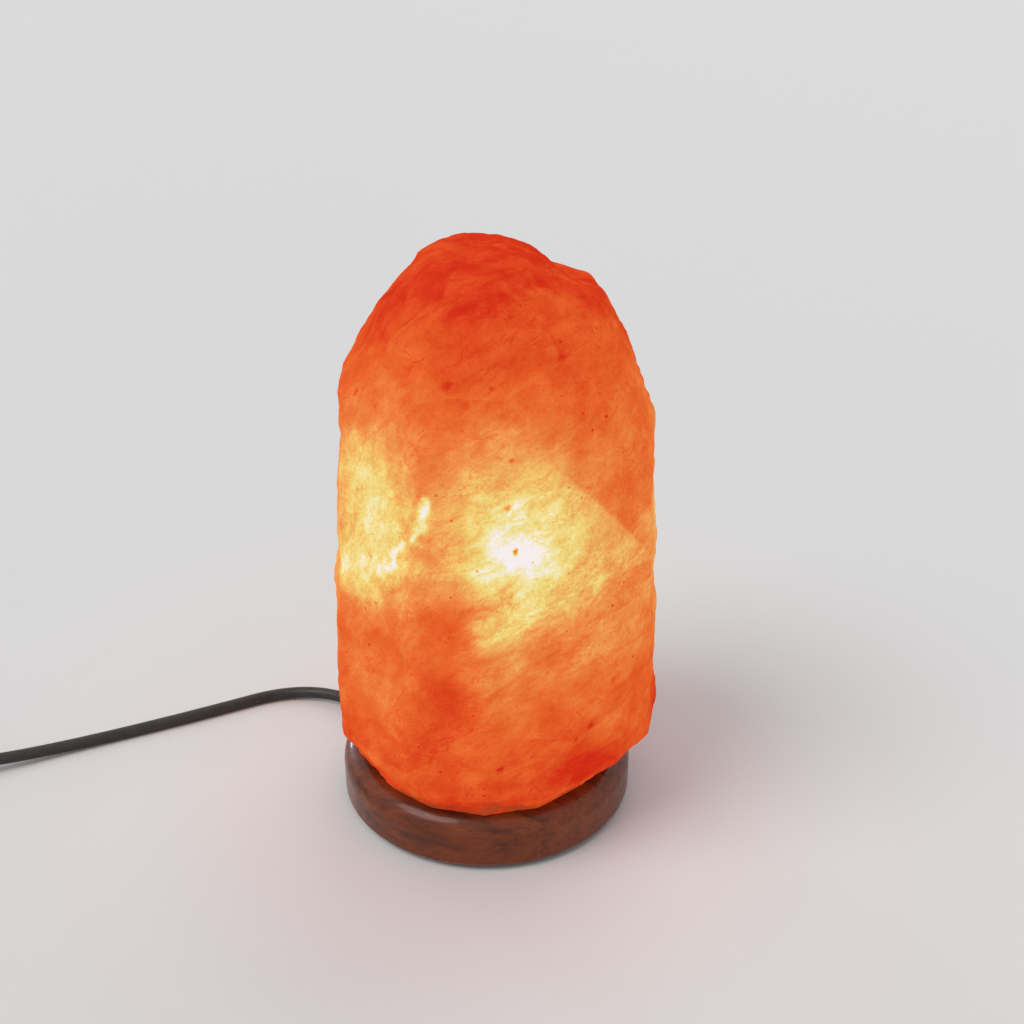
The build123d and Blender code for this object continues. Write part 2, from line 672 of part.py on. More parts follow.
def holder_wires():
    """The cord's two conductors, from its stripped end up to the terminals."""
    end = CORD_END_REACH - SEAT_GAP
    top = disc_under() - TERMINAL_DROP + 4
    wires = []
    for side in (-1, 1):
        start = WIRE_DIAMETER / 2 + SLIDE_GAP
        wire = wire_along(
            [
                (end, side * start, CORD_CHANNEL_HEIGHT),
                (0, side * start, CORD_CHANNEL_HEIGHT),
                (0, side * TERMINAL_OFFSET, (CORD_CHANNEL_HEIGHT + top) / 2),
                (0, side * TERMINAL_OFFSET, top),
            ]
        )
        wires.append(Rot(0, 0, CORD_ANGLE) * wire)
    return together(wires)


def clip_leg():
    """One sprung leg of the clip, from its band out and down to the bore's upper edge."""
    ledge = (BORE_RADIUS + CAVITY_RADIUS) / 2
    foot = FOOT_TOP + CLIP_THICKNESS / 2 + SEAT_GAP
    band = HOLDER_SLEEVE_RADIUS + SLIDE_GAP + CLIP_THICKNESS / 2
    path = FilletPolyline(
        (band, HOLDER_SHOULDER + CLIP_BAND_HEIGHT - 1.0),
        (band, HOLDER_SHOULDER + 2.8),
        (HOLDER_RADIUS + 2.2, HOLDER_SHOULDER + 1.0),
        (ledge - 0.8, foot + 3.0),
        (ledge, foot),
        (CAVITY_RADIUS - 1.0, foot + 1.6),
        radius=0.8,
    )
    strip = make_face(offset_both(path, CLIP_THICKNESS / 2))
    upright = Plane(origin=(0, CLIP_WIDTH / 2, 0), x_dir=(1, 0, 0), z_dir=(0, -1, 0))
    return extrude(upright * strip, amount=CLIP_WIDTH)


def offset_both(path, distance):
    """The closed outline at this distance on both sides of an open path."""
    return offset(path, distance, kind=Kind.INTERSECTION, side=Side.BOTH)


def spring_clip():
    """The spring steel clip: a band round the holder's sleeve and two sprung legs."""
    inner = HOLDER_SLEEVE_RADIUS + SLIDE_GAP
    band = tube(inner + CLIP_THICKNESS, inner, HOLDER_SHOULDER, HOLDER_SHOULDER + CLIP_BAND_HEIGHT)
    for side in (90, 270):
        band += Rot(0, 0, CORD_ANGLE + side) * clip_leg()
    return band - cylinder(inner, HOLDER_SHOULDER - 1, HOLDER_SHOULDER + CLIP_BAND_HEIGHT + 1)


def clamp_ring():
    """The notched ring nut above the clip."""
    bottom = HOLDER_SHOULDER + CLIP_BAND_HEIGHT
    ring = tube(CLAMP_RING_RADIUS, HOLDER_SLEEVE_RADIUS + SEAT_GAP, bottom, bottom + CLAMP_RING_HEIGHT)
    notch = cylinder(CLAMP_RING_NOTCH / 2, bottom - 1, bottom + CLAMP_RING_HEIGHT + 1)
    for number in range(CLAMP_RING_NOTCHES):
        ring -= around(360 * number / CLAMP_RING_NOTCHES, CLAMP_RING_RADIUS) * notch
    return ring


# ------------------------------------------------------------------------------ the bulb
def skirt_bottom():
    """The height at which the bulb's cap widens, just above the holder."""
    return HOLDER_TOP + BULB_SKIRT_CLEARANCE


def bulb_tip():
    """The solder contact at the bottom of the bulb."""
    tip = cylinder(BULB_TIP_RADIUS, BULB_TIP_HEIGHT, BULB_TIP_HEIGHT + 1.2)
    return fillet(tip.edges().group_by(Axis.Z)[0], 0.8)


def bulb_insulator():
    """The black glass cone between the bulb's tip and its screw cap."""
    bottom = BULB_TIP_HEIGHT + 0.8
    inner = BULB_TIP_RADIUS + SEAT_GAP
    outer = BULB_CAP_RADIUS - BULB_CAP_SHEET - SEAT_GAP
    profile = (
        (inner, bottom), (inner + 0.6, bottom), (outer, bottom + 2.2), (outer, bottom + 4.0),
        (0, bottom + 4.0), (0, bottom + 0.4 + SEAT_GAP), (inner, bottom + 0.4 + SEAT_GAP),
    )
    return turned(profile)


def bulb_cap():
    """The brass screw cap, a thin shell that widens to the glass."""
    sheet = BULB_CAP_SHEET
    bottom = BULB_TIP_HEIGHT + 3.0
    flare = skirt_bottom()
    top = flare + BULB_SKIRT_HEIGHT
    outside = [
        (BULB_CAP_RADIUS, bottom),
        (BULB_CAP_RADIUS, flare),
        (BULB_SKIRT_RADIUS, flare + BULB_FLARE_HEIGHT),
        (BULB_SKIRT_RADIUS, top),
    ]
    inside = [(radius - sheet, height) for radius, height in reversed(outside)]
    return turned(outside + inside)


def glass_bottom():
    """The height of the glass's lower end, inside the cap's wide part."""
    return skirt_bottom() + BULB_SKIRT_HEIGHT - BULB_GLASS_DEPTH


def bulb_glass():
    """The hollow glass of the bulb, a neck that swells to a round end."""
    bottom = glass_bottom()
    top = BULB_TIP_HEIGHT + BULB_LENGTH
    equator = top - BULB_GLASS_RADIUS

    def skin(inset):
        neck = BULB_NECK_RADIUS - inset
        wide = BULB_GLASS_RADIUS - inset
        shoulder = bottom + BULB_NECK_HEIGHT
        side = Spline((neck, 0, shoulder), (wide, 0, equator), tangents=((0.1, 0, 1), (0, 0, 1)))
        quarter = 1 / math.sqrt(2)
        dome = ThreePointArc(
            (wide, 0, equator), (wide * quarter, 0, equator + wide * quarter), (0, 0, equator + wide)
        )
        start = bottom + inset
        return make_face(
            [Line((0, 0, start), (neck, 0, start)), Line((neck, 0, start), (neck, 0, shoulder)), side, dome]
            + [Line((0, 0, equator + wide), (0, 0, start))]
        )

    return revolve(skin(0.0), Axis.Z) - revolve(skin(BULB_GLASS_WALL), Axis.Z)


def bulb_stem():
    """The solid glass mount inside the bulb that carries the leads."""
    bottom = glass_bottom() + BULB_GLASS_WALL
    foot = BULB_NECK_RADIUS - BULB_GLASS_WALL - 1.0
    waist = bottom + BULB_STEM_HEIGHT / 2
    profile = (
        (0, bottom), (foot, bottom), (BULB_STEM_RADIUS, waist),
        (BULB_STEM_TIP_RADIUS, stem_top()), (0, stem_top()),
    )
    return turned(profile)


def stem_top():
    """The height of the mount's upper end."""
    return glass_bottom() + BULB_GLASS_WALL + BULB_STEM_HEIGHT


def bulb_leads():
    """The two stiff wires that rise from the mount to the filament's ends."""
    radius = BULB_LEAD_DIAMETER / 2
    top = BULB_TIP_HEIGHT + BULB_LENGTH - BULB_GLASS_RADIUS
    leads = []
    for side in (-1, 1):
        route = [
            (side * 1.2, 0, stem_top()),
            (side * 1.2, 0, stem_top() + 2.0),
            (side * BULB_LEAD_SPREAD, 0, top - 3.0),
            (side * BULB_LEAD_SPREAD, 0, top),
        ]
        leads.append(swept(FilletPolyline(*route, radius=1.5), radius))
    return together(leads)


def bulb_filament():
    """The coiled filament, a thin bowed rod between the two leads."""
    top = BULB_TIP_HEIGHT + BULB_LENGTH - BULB_GLASS_RADIUS
    inner = BULB_LEAD_SPREAD - BULB_LEAD_DIAMETER / 2 - SLIDE_GAP
    path = ThreePointArc((-inner, 0, top - 0.6), (0, 0, top + 1.2), (inner, 0, top - 0.6))
    return swept(path, FILAMENT_DIAMETER / 2)


# ---------------------------------------------------------------------- the inline switch
def switch_place():
    """The switch's own frame: X runs along the cord, Z is up from the table."""
    return Pos(SWITCH_START[0], SWITCH_START[1], 0) * Rot(0, 0, SWITCH_HEADING)


def switch_outline(inset):
    """The switch's rounded outline, made smaller by the inset."""
    middle = Pos(SWITCH_LENGTH / 2, 0, 0)
    corner = max(SWITCH_CORNER - inset, 1.0)
    return middle * RectangleRounded(SWITCH_LENGTH - 2 * inset, SWITCH_WIDTH - 2 * inset, corner)


def switch_layer(inset, bottom, top):
    """A slice of the switch's outline between two heights."""
    return extrude(Pos(0, 0, bottom) * switch_outline(inset), amount=top - bottom)


def switch_cord_bore():
    """The holes for the cord through both ends of the switch."""
    rod = Cylinder(CORD_RADIUS + LOOSE_GAP / 2, SWITCH_LENGTH + 2)
    return Pos(SWITCH_LENGTH / 2, 0, SWITCH_CORD_HEIGHT) * Rot(0, 90, 0) * rod


def ends(reach):
    """The same distance from either end of the switch."""
    return (reach, SWITCH_LENGTH - reach)


def switch_grip_posts():
    """Where the four screws of the switch's cord grips stand."""
    return [
        Pos(reach, side * SWITCH_GRIP_SCREW_OFFSET, 0)
        for reach in ends(SWITCH_GRIP_REACH)
        for side in (-1, 1)
    ]


def housing_screw_places():
    """Where the two screws that close the housing stand."""
    return [Pos(reach, HOUSING_SCREW_SIDE, 0) for reach in ends(HOUSING_SCREW_REACH)]


def switch_bottom():
    """The lower half of the housing, with posts for the grips and the closing screws."""
    split_height = SWITCH_CORD_HEIGHT
    shell = switch_layer(0, 0, split_height)
    shell = chamfer(shell.edges().group_by(Axis.Z)[0], SWITCH_EDGE / 2)
    shell -= switch_layer(SWITCH_WALL, SWITCH_WALL, split_height + 1)
    for place in housing_screw_places():
        shell += place * cylinder(HOUSING_BOSS_RADIUS, SWITCH_WALL, split_height)
        shell -= place * cylinder(HOUSING_SCREW_DIAMETER / 2 + LOOSE_GAP, -1, split_height + 1)
        shell -= place * cylinder(HOUSING_SCREW_DIAMETER + LOOSE_GAP, -1, HOUSING_HEAD_RECESS)
    post_top = SWITCH_CORD_HEIGHT + CORD_RADIUS - SEAT_GAP
    for place in switch_grip_posts():
        shell += place * cylinder(GRIP_SCREW_DIAMETER / 2 + 0.9, SWITCH_WALL, post_top)
        shell -= place * cylinder(GRIP_SCREW_DIAMETER / 2 + SEAT_GAP, SWITCH_WALL, post_top + 1)
    return switch_place() * (shell - switch_cord_bore())


def switch_top():
    """The upper half of the housing, with the rocker's window and the lugs of its pin."""
    split_height = SWITCH_CORD_HEIGHT
    shell = switch_layer(0, split_height, SWITCH_HEIGHT)
    shell = fillet(shell.edges().group_by(Axis.Z)[-1], SWITCH_EDGE)
    shell -= switch_layer(SWITCH_WALL, split_height - 1, SWITCH_HEIGHT - SWITCH_WALL)
    middle = SWITCH_LENGTH / 2
    lug_inner = ROCKER_WIDTH / 2 + ROCKER_GAP
    for side in (-1, 1):
        near, far = sorted((side * lug_inner, side * (lug_inner + SWITCH_WALL)))
        lug = block((middle - 4, middle + 4), (near, far), (SEE_SAW_HEIGHT + 4, SWITCH_HEIGHT - 1))
        shell += lug
    window = ROCKER_LENGTH / 2 + ROCKER_GAP
    shell -= block(
        (middle - window, middle + window), (-lug_inner, lug_inner), (split_height, SWITCH_HEIGHT + 1)
    )
    for place in housing_screw_places():
        shell += place * cylinder(HOUSING_BOSS_RADIUS, split_height, SWITCH_HEIGHT - 1)
        screw_radius = HOUSING_SCREW_DIAMETER / 2 + SEAT_GAP
        shell -= place * cylinder(screw_radius, split_height - 1, SWITCH_HEIGHT - 3)
    pin_hole = Cylinder(ROCKER_PIN_DIAMETER / 2 + SEAT_GAP, rocker_pin_length() + 2 * SEAT_GAP)
    shell -= rocker_axis() * pin_hole
    return switch_place() * (shell - switch_cord_bore())


def rocker_pin_length():
    """The pin's length: across the rocker, its side gaps and both lugs."""
    return ROCKER_WIDTH + 2 * ROCKER_GAP + 2 * SWITCH_WALL


def rocker_axis():
    """The rocker's pivot in the switch's frame, with Z along the pin."""
    return Pos(SWITCH_LENGTH / 2, 0, ROCKER_PIN_HEIGHT) * Rot(90, 0, 0)


def rocker_pin():
    """The steel pin that the rocker tilts on."""
    return switch_place() * rocker_axis() * Cylinder(ROCKER_PIN_DIAMETER / 2, rocker_pin_length())


def rocker_frame():
    """The rocker's own frame at rest, with its near end down."""
    return switch_place() * Pos(SWITCH_LENGTH / 2, 0, ROCKER_PIN_HEIGHT) * Rot(0, -ROCKER_TILT, 0)


def switch_rocker():
    """The rocker: a saddle-backed key with a hole for its pin and a socket below."""
    half = ROCKER_LENGTH / 2
    low = -ROCKER_THICKNESS / 2
    crown = SWITCH_HEIGHT - ROCKER_PIN_HEIGHT + 1.2
    side = make_face(
        [
            Line((-half, low), (-half, crown + 1.6)),
            ThreePointArc((-half, crown + 1.6), (0, crown), (half, crown + 1.6)),
            Line((half, crown + 1.6), (half, low)),
            Line((half, low), (-half, low)),
        ]
    )
    upright = Plane(origin=(0, ROCKER_WIDTH / 2, 0), x_dir=(1, 0, 0), z_dir=(0, -1, 0))
    key = extrude(upright * side, amount=ROCKER_WIDTH)
    trim = Cylinder(half, 2 * ROCKER_WIDTH)
    key = key & (Rot(90, 0, 0) * trim)
    key -= Rot(90, 0, 0) * Cylinder(ROCKER_PIN_DIAMETER / 2 + SLIDE_GAP / 2, 2 * ROCKER_WIDTH)
    return rocker_frame() * key


def rocker_plunger():
    """The short brass pin under the rocker that pushes the see-saw contact."""
    top = -ROCKER_THICKNESS / 2
    reach = see_saw_top() - ROCKER_PIN_HEIGHT + LOOSE_GAP
    plunger = cylinder(PLUNGER_DIAMETER / 2, reach, top)
    plunger = fillet(plunger.edges().group_by(Axis.Z)[0], PLUNGER_DIAMETER * 0.4)
    return rocker_frame() * plunger


def see_saw_top():
    """The height of the see-saw contact's upper face at its middle."""
    return SEE_SAW_HEIGHT + SEE_SAW_SHEET


def see_saw_frame():
    """The see-saw contact's own frame at rest, tilted down on to the fixed contact."""
    return switch_place() * Pos(SWITCH_LENGTH / 2, 0, SEE_SAW_HEIGHT) * Rot(0, SEE_SAW_TILT, 0)


def switch_see_saw():
    """The contact that tips from side to side under the plunger."""
    half = SEE_SAW_LENGTH / 2
    bar = block((-half, half), (-SEE_SAW_WIDTH / 2, SEE_SAW_WIDTH / 2), (0, SEE_SAW_SHEET))
    groove = Rot(90, 0, 0) * Cylinder(SEE_SAW_PIVOT_RADIUS / 2, SEE_SAW_WIDTH + 1)
    return see_saw_frame() * (bar - groove)


def switch_terminal(reach):
    """A brass block at this distance along the switch, with its wire and screw holes."""
    half = SWITCH_TERMINAL_WIDTH / 2
    top = SWITCH_WALL + SWITCH_TERMINAL_HEIGHT
    side = SWITCH_TERMINAL_SIDE
    terminal = block(
        (reach - half, reach + half),
        (side - SWITCH_TERMINAL_WIDTH, side),
        (SWITCH_WALL, top),
    )
    wire_hole = Cylinder(WIRE_DIAMETER / 2 + SEAT_GAP, SWITCH_TERMINAL_WIDTH * 0.9)
    outward = -1 if reach < SWITCH_LENGTH / 2 else 1
    terminal -= Pos(reach + outward * half, side - half, switch_wire_height()) * Rot(0, 90, 0) * wire_hole
    screw_hole = cylinder(TERMINAL_SCREW_DIAMETER / 2 + SEAT_GAP, switch_wire_height(), top + 1)
    return terminal - Pos(reach, side - half, 0) * screw_hole


def switch_wire_height():
    """The height of the wires' middle in the switch's terminals."""
    return SWITCH_WALL + SWITCH_TERMINAL_HEIGHT / 2 - 0.6


def switch_fixed_contact():
    """The brass terminal and stud that the see-saw tips down on."""
    middle = SWITCH_LENGTH / 2
    lit = middle + SEE_SAW_LENGTH / 2 - 1.5
    drop = (SEE_SAW_LENGTH / 2 - 1.5) * math.tan(math.radians(SEE_SAW_TILT))
    touch = SEE_SAW_HEIGHT - drop - LOOSE_GAP
    reach = SWITCH_LENGTH - SWITCH_TERMINAL_REACH
    terminal = switch_terminal(reach)
    half = SEE_SAW_WIDTH / 2
    strip = block((lit - 1.0, reach), (-half, half), (SWITCH_WALL, SWITCH_WALL + 0.8))
    post = block((lit - 1.0, lit + 1.0), (-half, half), (SWITCH_WALL, touch))
    return switch_place() * (terminal + strip + post)


def switch_pivot_contact():
    """The brass terminal and cradle that the see-saw rocks on."""
    middle = SWITCH_LENGTH / 2
    half = SEE_SAW_WIDTH / 2
    terminal = switch_terminal(SWITCH_TERMINAL_REACH)
    strip = block((SWITCH_TERMINAL_REACH, middle + 0.6), (-half, half), (SWITCH_WALL, SWITCH_WALL + 0.8))
    crest = SEE_SAW_HEIGHT - LOOSE_GAP
    post = block((middle - 0.6, middle + 0.6), (-half, half), (SWITCH_WALL, crest - 0.4))
    ridge = Pos(middle, 0, crest - 0.6) * Rot(90, 0, 0) * Cylinder(0.6, SEE_SAW_WIDTH)
    return switch_place() * (terminal + strip + post + ridge)


def switch_terminal_screws():
    """The two screws on top of the switch's terminals."""
    top = SWITCH_WALL + SWITCH_TERMINAL_HEIGHT
    length = top - switch_wire_height() - WIRE_DIAMETER / 2 - SLIDE_GAP
    side = SWITCH_TERMINAL_SIDE - SWITCH_TERMINAL_WIDTH / 2
    screw = upside_down(round_screw(TERMINAL_SCREW_DIAMETER, length, 4.0, 1.2), top)
    return together([switch_place() * Pos(reach, side, 0) * screw for reach in ends(SWITCH_TERMINAL_REACH)])


def switch_cord_grips():
    """The two bars that press the cord's ends down in the housing."""
    half = GRIP_BAR_WIDTH / 2
    reach = SWITCH_GRIP_SCREW_OFFSET + GRIP_SCREW_DIAMETER
    seat = SWITCH_CORD_HEIGHT + CORD_RADIUS + SEAT_GAP
    bar = block((-half, half), (-reach, reach), (seat, seat + GRIP_BAR_THICKNESS))
    hole = cylinder(GRIP_SCREW_DIAMETER / 2 + SLIDE_GAP, seat - 1, seat + GRIP_BAR_THICKNESS + 1)
    for side in (-1, 1):
        bar -= Pos(0, side * SWITCH_GRIP_SCREW_OFFSET, 0) * hole
    return together([switch_place() * Pos(place, 0, 0) * bar for place in ends(SWITCH_GRIP_REACH)])


def switch_grip_screws():
    """The four screws of the two cord grips."""
    seat = SWITCH_CORD_HEIGHT + CORD_RADIUS + SEAT_GAP + GRIP_BAR_THICKNESS
    length = seat - SWITCH_WALL - 0.6
    screw = upside_down(round_screw(GRIP_SCREW_DIAMETER, length, 1.8 * GRIP_SCREW_DIAMETER, 1.1), seat)
    return together([switch_place() * place * screw for place in switch_grip_posts()])


def switch_housing_screws():
    """The two screws that close the housing from below."""
    head = HOUSING_SCREW_DIAMETER * 0.5
    screw = round_screw(
        HOUSING_SCREW_DIAMETER, HOUSING_SCREW_LENGTH, 2 * HOUSING_SCREW_DIAMETER, head
    )
    lift = Pos(0, 0, HOUSING_HEAD_RECESS)
    return together([switch_place() * place * lift * screw for place in housing_screw_places()])


def switch_wires():
    """Inside the switch: one wire to each terminal, and one that passes straight through."""
    start = SWITCH_CORD_REACH + SEAT_GAP
    side = SWITCH_TERMINAL_SIDE - SWITCH_TERMINAL_WIDTH / 2
    offset_y = WIRE_DIAMETER / 2 + SLIDE_GAP
    height = switch_wire_height()
    inner = SWITCH_TERMINAL_REACH - SWITCH_TERMINAL_WIDTH / 2
    wires = []
    for mirror in (False, True):
        route = [(start, offset_y, SWITCH_CORD_HEIGHT), (start + 1.8, offset_y, SWITCH_CORD_HEIGHT)]
        route += [(inner - 1.0, side, height), (inner + 1.4, side, height)]
        if mirror:
            route = [(SWITCH_LENGTH - x, y, z) for x, y, z in route]
        wires.append(swept(FilletPolyline(*route, radius=1.4), WIRE_DIAMETER / 2))
    bend = 4.0
    through = wire_along(
        [
            (start, -offset_y, SWITCH_CORD_HEIGHT),
            (start + bend, -offset_y, SWITCH_CORD_HEIGHT),
            (start + 2 * bend, SWITCH_NEUTRAL_SIDE, SWITCH_CORD_HEIGHT - 2),
            (SWITCH_LENGTH - start - 2 * bend, SWITCH_NEUTRAL_SIDE, SWITCH_CORD_HEIGHT - 2),
            (SWITCH_LENGTH - start - bend, -offset_y, SWITCH_CORD_HEIGHT),
            (SWITCH_LENGTH - start, -offset_y, SWITCH_CORD_HEIGHT),
        ]
    )
    return together([switch_place() * wire for wire in wires + [through]])


def switch_point(reach):
    """A point on the cord's middle at this distance along the switch."""
    place = switch_place() * Pos(reach, 0, SWITCH_CORD_HEIGHT)
    return tuple(place.position)


# ------------------------------------------------------------------------------ the cord
def cord_lamp_to_switch():
    """The cord from the holder, along the foot's channel and over the table to the switch."""
    turn = math.radians(CORD_ANGLE)
    start = (CORD_END_REACH * math.cos(turn), CORD_END_REACH * math.sin(turn), CORD_CHANNEL_HEIGHT)
    return cord_along([start, *CORD_TO_SWITCH, switch_point(SWITCH_CORD_REACH)], "cord_lamp_to_switch")


def coil_centre():
    """The middle of the coil, beside the point at which the cord comes in."""
    outer = COIL_MIDDLE_RADIUS + COIL_PITCH * COIL_TURNS_A_LAYER / 2
    bearing = math.radians(SWITCH_HEADING + 90)
    return (COIL_ENTRY[0] - outer * math.cos(bearing), COIL_ENTRY[1] - outer * math.sin(bearing))


def coil_turns():
    """All the turns: each layer's, and a half turn for each climb between layers."""
    return COIL_LAYERS * COIL_TURNS_A_LAYER + (COIL_LAYERS - 1) / 2


def coil_point(turns):
    """The cord's middle after so many turns: in a spiral, up half a turn, and out again."""
    inner = COIL_MIDDLE_RADIUS - COIL_PITCH * COIL_TURNS_A_LAYER / 2
    stage = COIL_TURNS_A_LAYER + 0.5
    layer = min(int(turns / stage), COIL_LAYERS - 1)
    within = turns - layer * stage
    run = min(within, COIL_TURNS_A_LAYER)
    climb = max(0.0, within - COIL_TURNS_A_LAYER) * 2
    run_out = run if layer % 2 else COIL_TURNS_A_LAYER - run
    radius = inner + COIL_PITCH * run_out
    rise = climb * climb * (3 - 2 * climb)
    height = CORD_LIE + COIL_LAYER_HEIGHT * (layer + rise)
    angle = math.radians(SWITCH_HEADING + 90 - 360 * turns)
    middle = coil_centre()
    return Vector(middle[0] + radius * math.cos(angle), middle[1] + radius * math.sin(angle), height)


def coil_heading(turns):
    """The cord's direction after so many turns."""
    step = 0.001
    last = coil_turns()
    early, late = max(0.0, turns - step), min(last, turns + step)
    return (coil_point(late) - coil_point(early)).normalized()


def biarc(start, start_heading, end, end_heading):
    """Two arcs that join two points smoothly in the given directions."""
    across = end - start
    both = start_heading + end_heading
    a = 2 * (1 - start_heading.dot(end_heading))
    b = 2 * across.dot(both)
    reach = (math.sqrt(b * b + 4 * a * across.dot(across)) - b) / (2 * a)
    first = start + start_heading * reach
    last = end - end_heading * reach
    joint = (first + last) * 0.5
    return [
        TangentArc(start, joint, tangent=start_heading),
        TangentArc(joint, end, tangent=last - first),
    ]


def coil_path():
    """The coil's whole route: quarter turns as pairs of arcs, and a straight bit at each end."""
    quarters = int(coil_turns() * 4)
    stops = [number / 4 for number in range(quarters + 1)]
    points = [coil_point(turns) for turns in stops]
    headings = [coil_heading(turns) for turns in stops]
    flat = [Vector(heading.X, heading.Y, 0).normalized() for heading in (headings[0], headings[-1])]
    headings[0], headings[-1] = flat
    edges = [Line(points[0] - flat[0] * COIL_STRAIGHT_END, points[0])]
    for number in range(quarters):
        edges += biarc(points[number], headings[number], points[number + 1], headings[number + 1])
    edges.append(Line(points[-1], points[-1] + flat[1] * COIL_STRAIGHT_END))
    return Wire([edge.edge() for edge in edges])


def print_coil_gap():
    """Measures the coil's least gap to itself, on points 5 degrees apart."""
    steps = int(coil_turns() * 72)
    points = [coil_point(number / 72) for number in range(steps + 1)]
    least = min(
        (points[one] - points[other]).length
        for one in range(steps + 1)
        for other in range(one + 36, steps + 1)
    )
    print("coil: least gap to itself", round(least - CORD_DIAMETER, 2), "turns", coil_turns())


def cord_coil():
    """The spare cord, wound into a flat two-layer coil."""
    path = coil_path()
    piece = swept(path, CORD_RADIUS)
    expected = math.pi * CORD_RADIUS**2 * path.length
    print("cord_coil length", round(path.length, 1), "volume share", round(piece.volume / expected, 4))
    print_coil_gap()
    return piece


def cord_switch_to_coil():
    """The short stretch between the switch and the coil."""
    path = coil_path()
    end = path @ 0
    before = end - (path % 0) * COIL_RUN_IN
    start = switch_point(SWITCH_LENGTH - SWITCH_CORD_REACH)
    exit_point = switch_point(SWITCH_LENGTH + SWITCH_RUN_OUT)
    return cord_along([start, exit_point, tuple(before), tuple(end)], "cord_switch_to_coil")


# ------------------------------------------------------------------------------ the plug
def plug_place():
    """The plug's own frame: X runs along the cord into the plug, Z is up."""
    return Pos(PLUG_START[0], PLUG_START[1], PLUG_THICKNESS / 2) * Rot(0, 0, PLUG_HEADING)


def cord_coil_to_plug():
    """The last stretch, from the coil's upper layer to the plug."""
    path = coil_path()
    start = path @ 1
    after = start + (path % 1) * COIL_RUN_IN
    entry = (plug_place() * Pos(PLUG_CORD_DEPTH, 0, 0)).position
    before = (plug_place() * Pos(-PLUG_RUN_IN, 0, 0)).position
    route = [tuple(point) for point in (start, after, before, entry)]
    return cord_along(route, "cord_coil_to_plug")


def plug_section(reach, width, thickness):
    """A flat-sided round section of the plug at this distance along it."""
    plane = Plane(origin=(reach, 0, 0), x_dir=(0, 1, 0), z_dir=(1, 0, 0))
    return plane * RectangleRounded(width, thickness, thickness * 0.45)


def plug_body():
    """The flat plug, wide at its face and drawn in towards the neck."""
    start = PLUG_NECK_LENGTH
    face = start + PLUG_LENGTH
    sections = [
        plug_section(start, PLUG_REAR_WIDTH, PLUG_REAR_THICKNESS),
        plug_section(start + PLUG_LENGTH * 0.45, PLUG_FACE_WIDTH * 0.78, PLUG_THICKNESS),
        plug_section(face - 6.0, PLUG_FACE_WIDTH, PLUG_THICKNESS),
    ]
    body = loft([sections[0], sections[1]], ruled=True) + loft([sections[1], sections[2]], ruled=True)
    body += extrude(sections[2], amount=6.0)
    hole = Cylinder(PIN_DIAMETER / 2 + SEAT_GAP, PIN_ROOT_DEPTH, align=HANGING)
    for side in (-1, 1):
        body -= Pos(face, side * PIN_SPACING / 2, 0) * Rot(0, 90, 0) * hole
    return plug_place() * body


def plug_pins():
    """The two contact pins, thinner where their sleeves sit."""
    face = PLUG_NECK_LENGTH + PLUG_LENGTH
    bare = PIN_LENGTH - PIN_BARE_LENGTH
    pin = cylinder(PIN_DIAMETER / 2, -PIN_ROOT_DEPTH, 0) + cylinder(PIN_CORE_DIAMETER / 2, 0, bare)
    tip = cylinder(PIN_DIAMETER / 2, bare, PIN_LENGTH)
    pin += fillet(tip.edges().group_by(Axis.Z)[-1], PIN_DIAMETER * 0.4)
    return together(
        [plug_place() * Pos(face, side * PIN_SPACING / 2, 0) * Rot(0, 90, 0) * pin for side in (-1, 1)]
    )


def pin_sleeves():
    """The insulating sleeves round the pins, next to the plug's face."""
    face = PLUG_NECK_LENGTH + PLUG_LENGTH
    inner = PIN_CORE_DIAMETER / 2 + SEAT_GAP
    sleeve = tube(PIN_SLEEVE_DIAMETER / 2, inner, 0, PIN_LENGTH - PIN_BARE_LENGTH)
    return together(
        [plug_place() * Pos(face, side * PIN_SPACING / 2, 0) * Rot(0, 90, 0) * sleeve for side in (-1, 1)]
    )


def plug_strain_relief():
    """The tapered neck behind the plug, with rings cut into it so that it bends."""
    neck = Rot(0, 90, 0) * Cone(
        PLUG_NECK_END_RADIUS, PLUG_NECK_RADIUS, PLUG_NECK_LENGTH, align=STANDING
    )
    bore = Cylinder(CORD_RADIUS + SEAT_GAP, PLUG_CORD_DEPTH + SEAT_GAP, align=STANDING)
    neck -= Rot(0, 90, 0) * bore
    spacing = PLUG_NECK_LENGTH / (PLUG_NECK_RIBS + 1)
    for number in range(PLUG_NECK_RIBS):
        reach = spacing * (number + 1)
        radius = PLUG_NECK_END_RADIUS + (PLUG_NECK_RADIUS - PLUG_NECK_END_RADIUS) * reach / PLUG_NECK_LENGTH
        ring = tube(radius + 1, radius - PLUG_NECK_RIB_DEPTH, -spacing / 5, spacing / 5)
        neck -= Pos(reach, 0, 0) * Rot(0, 90, 0) * ring
    return plug_place() * neck


PIECES = (
    wooden_base, base_pad, base_screws, wall_plugs, cord_clamp, cord_clamp_screws, salt_crystal,
    holder_cap, holder_shell, holder_insert, contact_shell, centre_contact, holder_terminals,
    terminal_screws, holder_cord_grip, holder_grip_screws, holder_wires, spring_clip, clamp_ring,
    bulb_tip, bulb_insulator, bulb_cap, bulb_glass, bulb_stem, bulb_leads, bulb_filament,
    cord_lamp_to_switch, cord_switch_to_coil, cord_coil, cord_coil_to_plug,
    switch_bottom, switch_top, switch_rocker, rocker_pin, rocker_plunger, switch_see_saw,
    switch_fixed_contact, switch_pivot_contact, switch_terminal_screws, switch_cord_grips,
    switch_grip_screws, switch_housing_screws, switch_wires,
    plug_body, plug_pins, pin_sleeves, plug_strain_relief,
)

os.makedirs("parts", exist_ok=True)
for piece in PIECES:
    export_step(piece(), f"parts/{piece.__name__}.step")
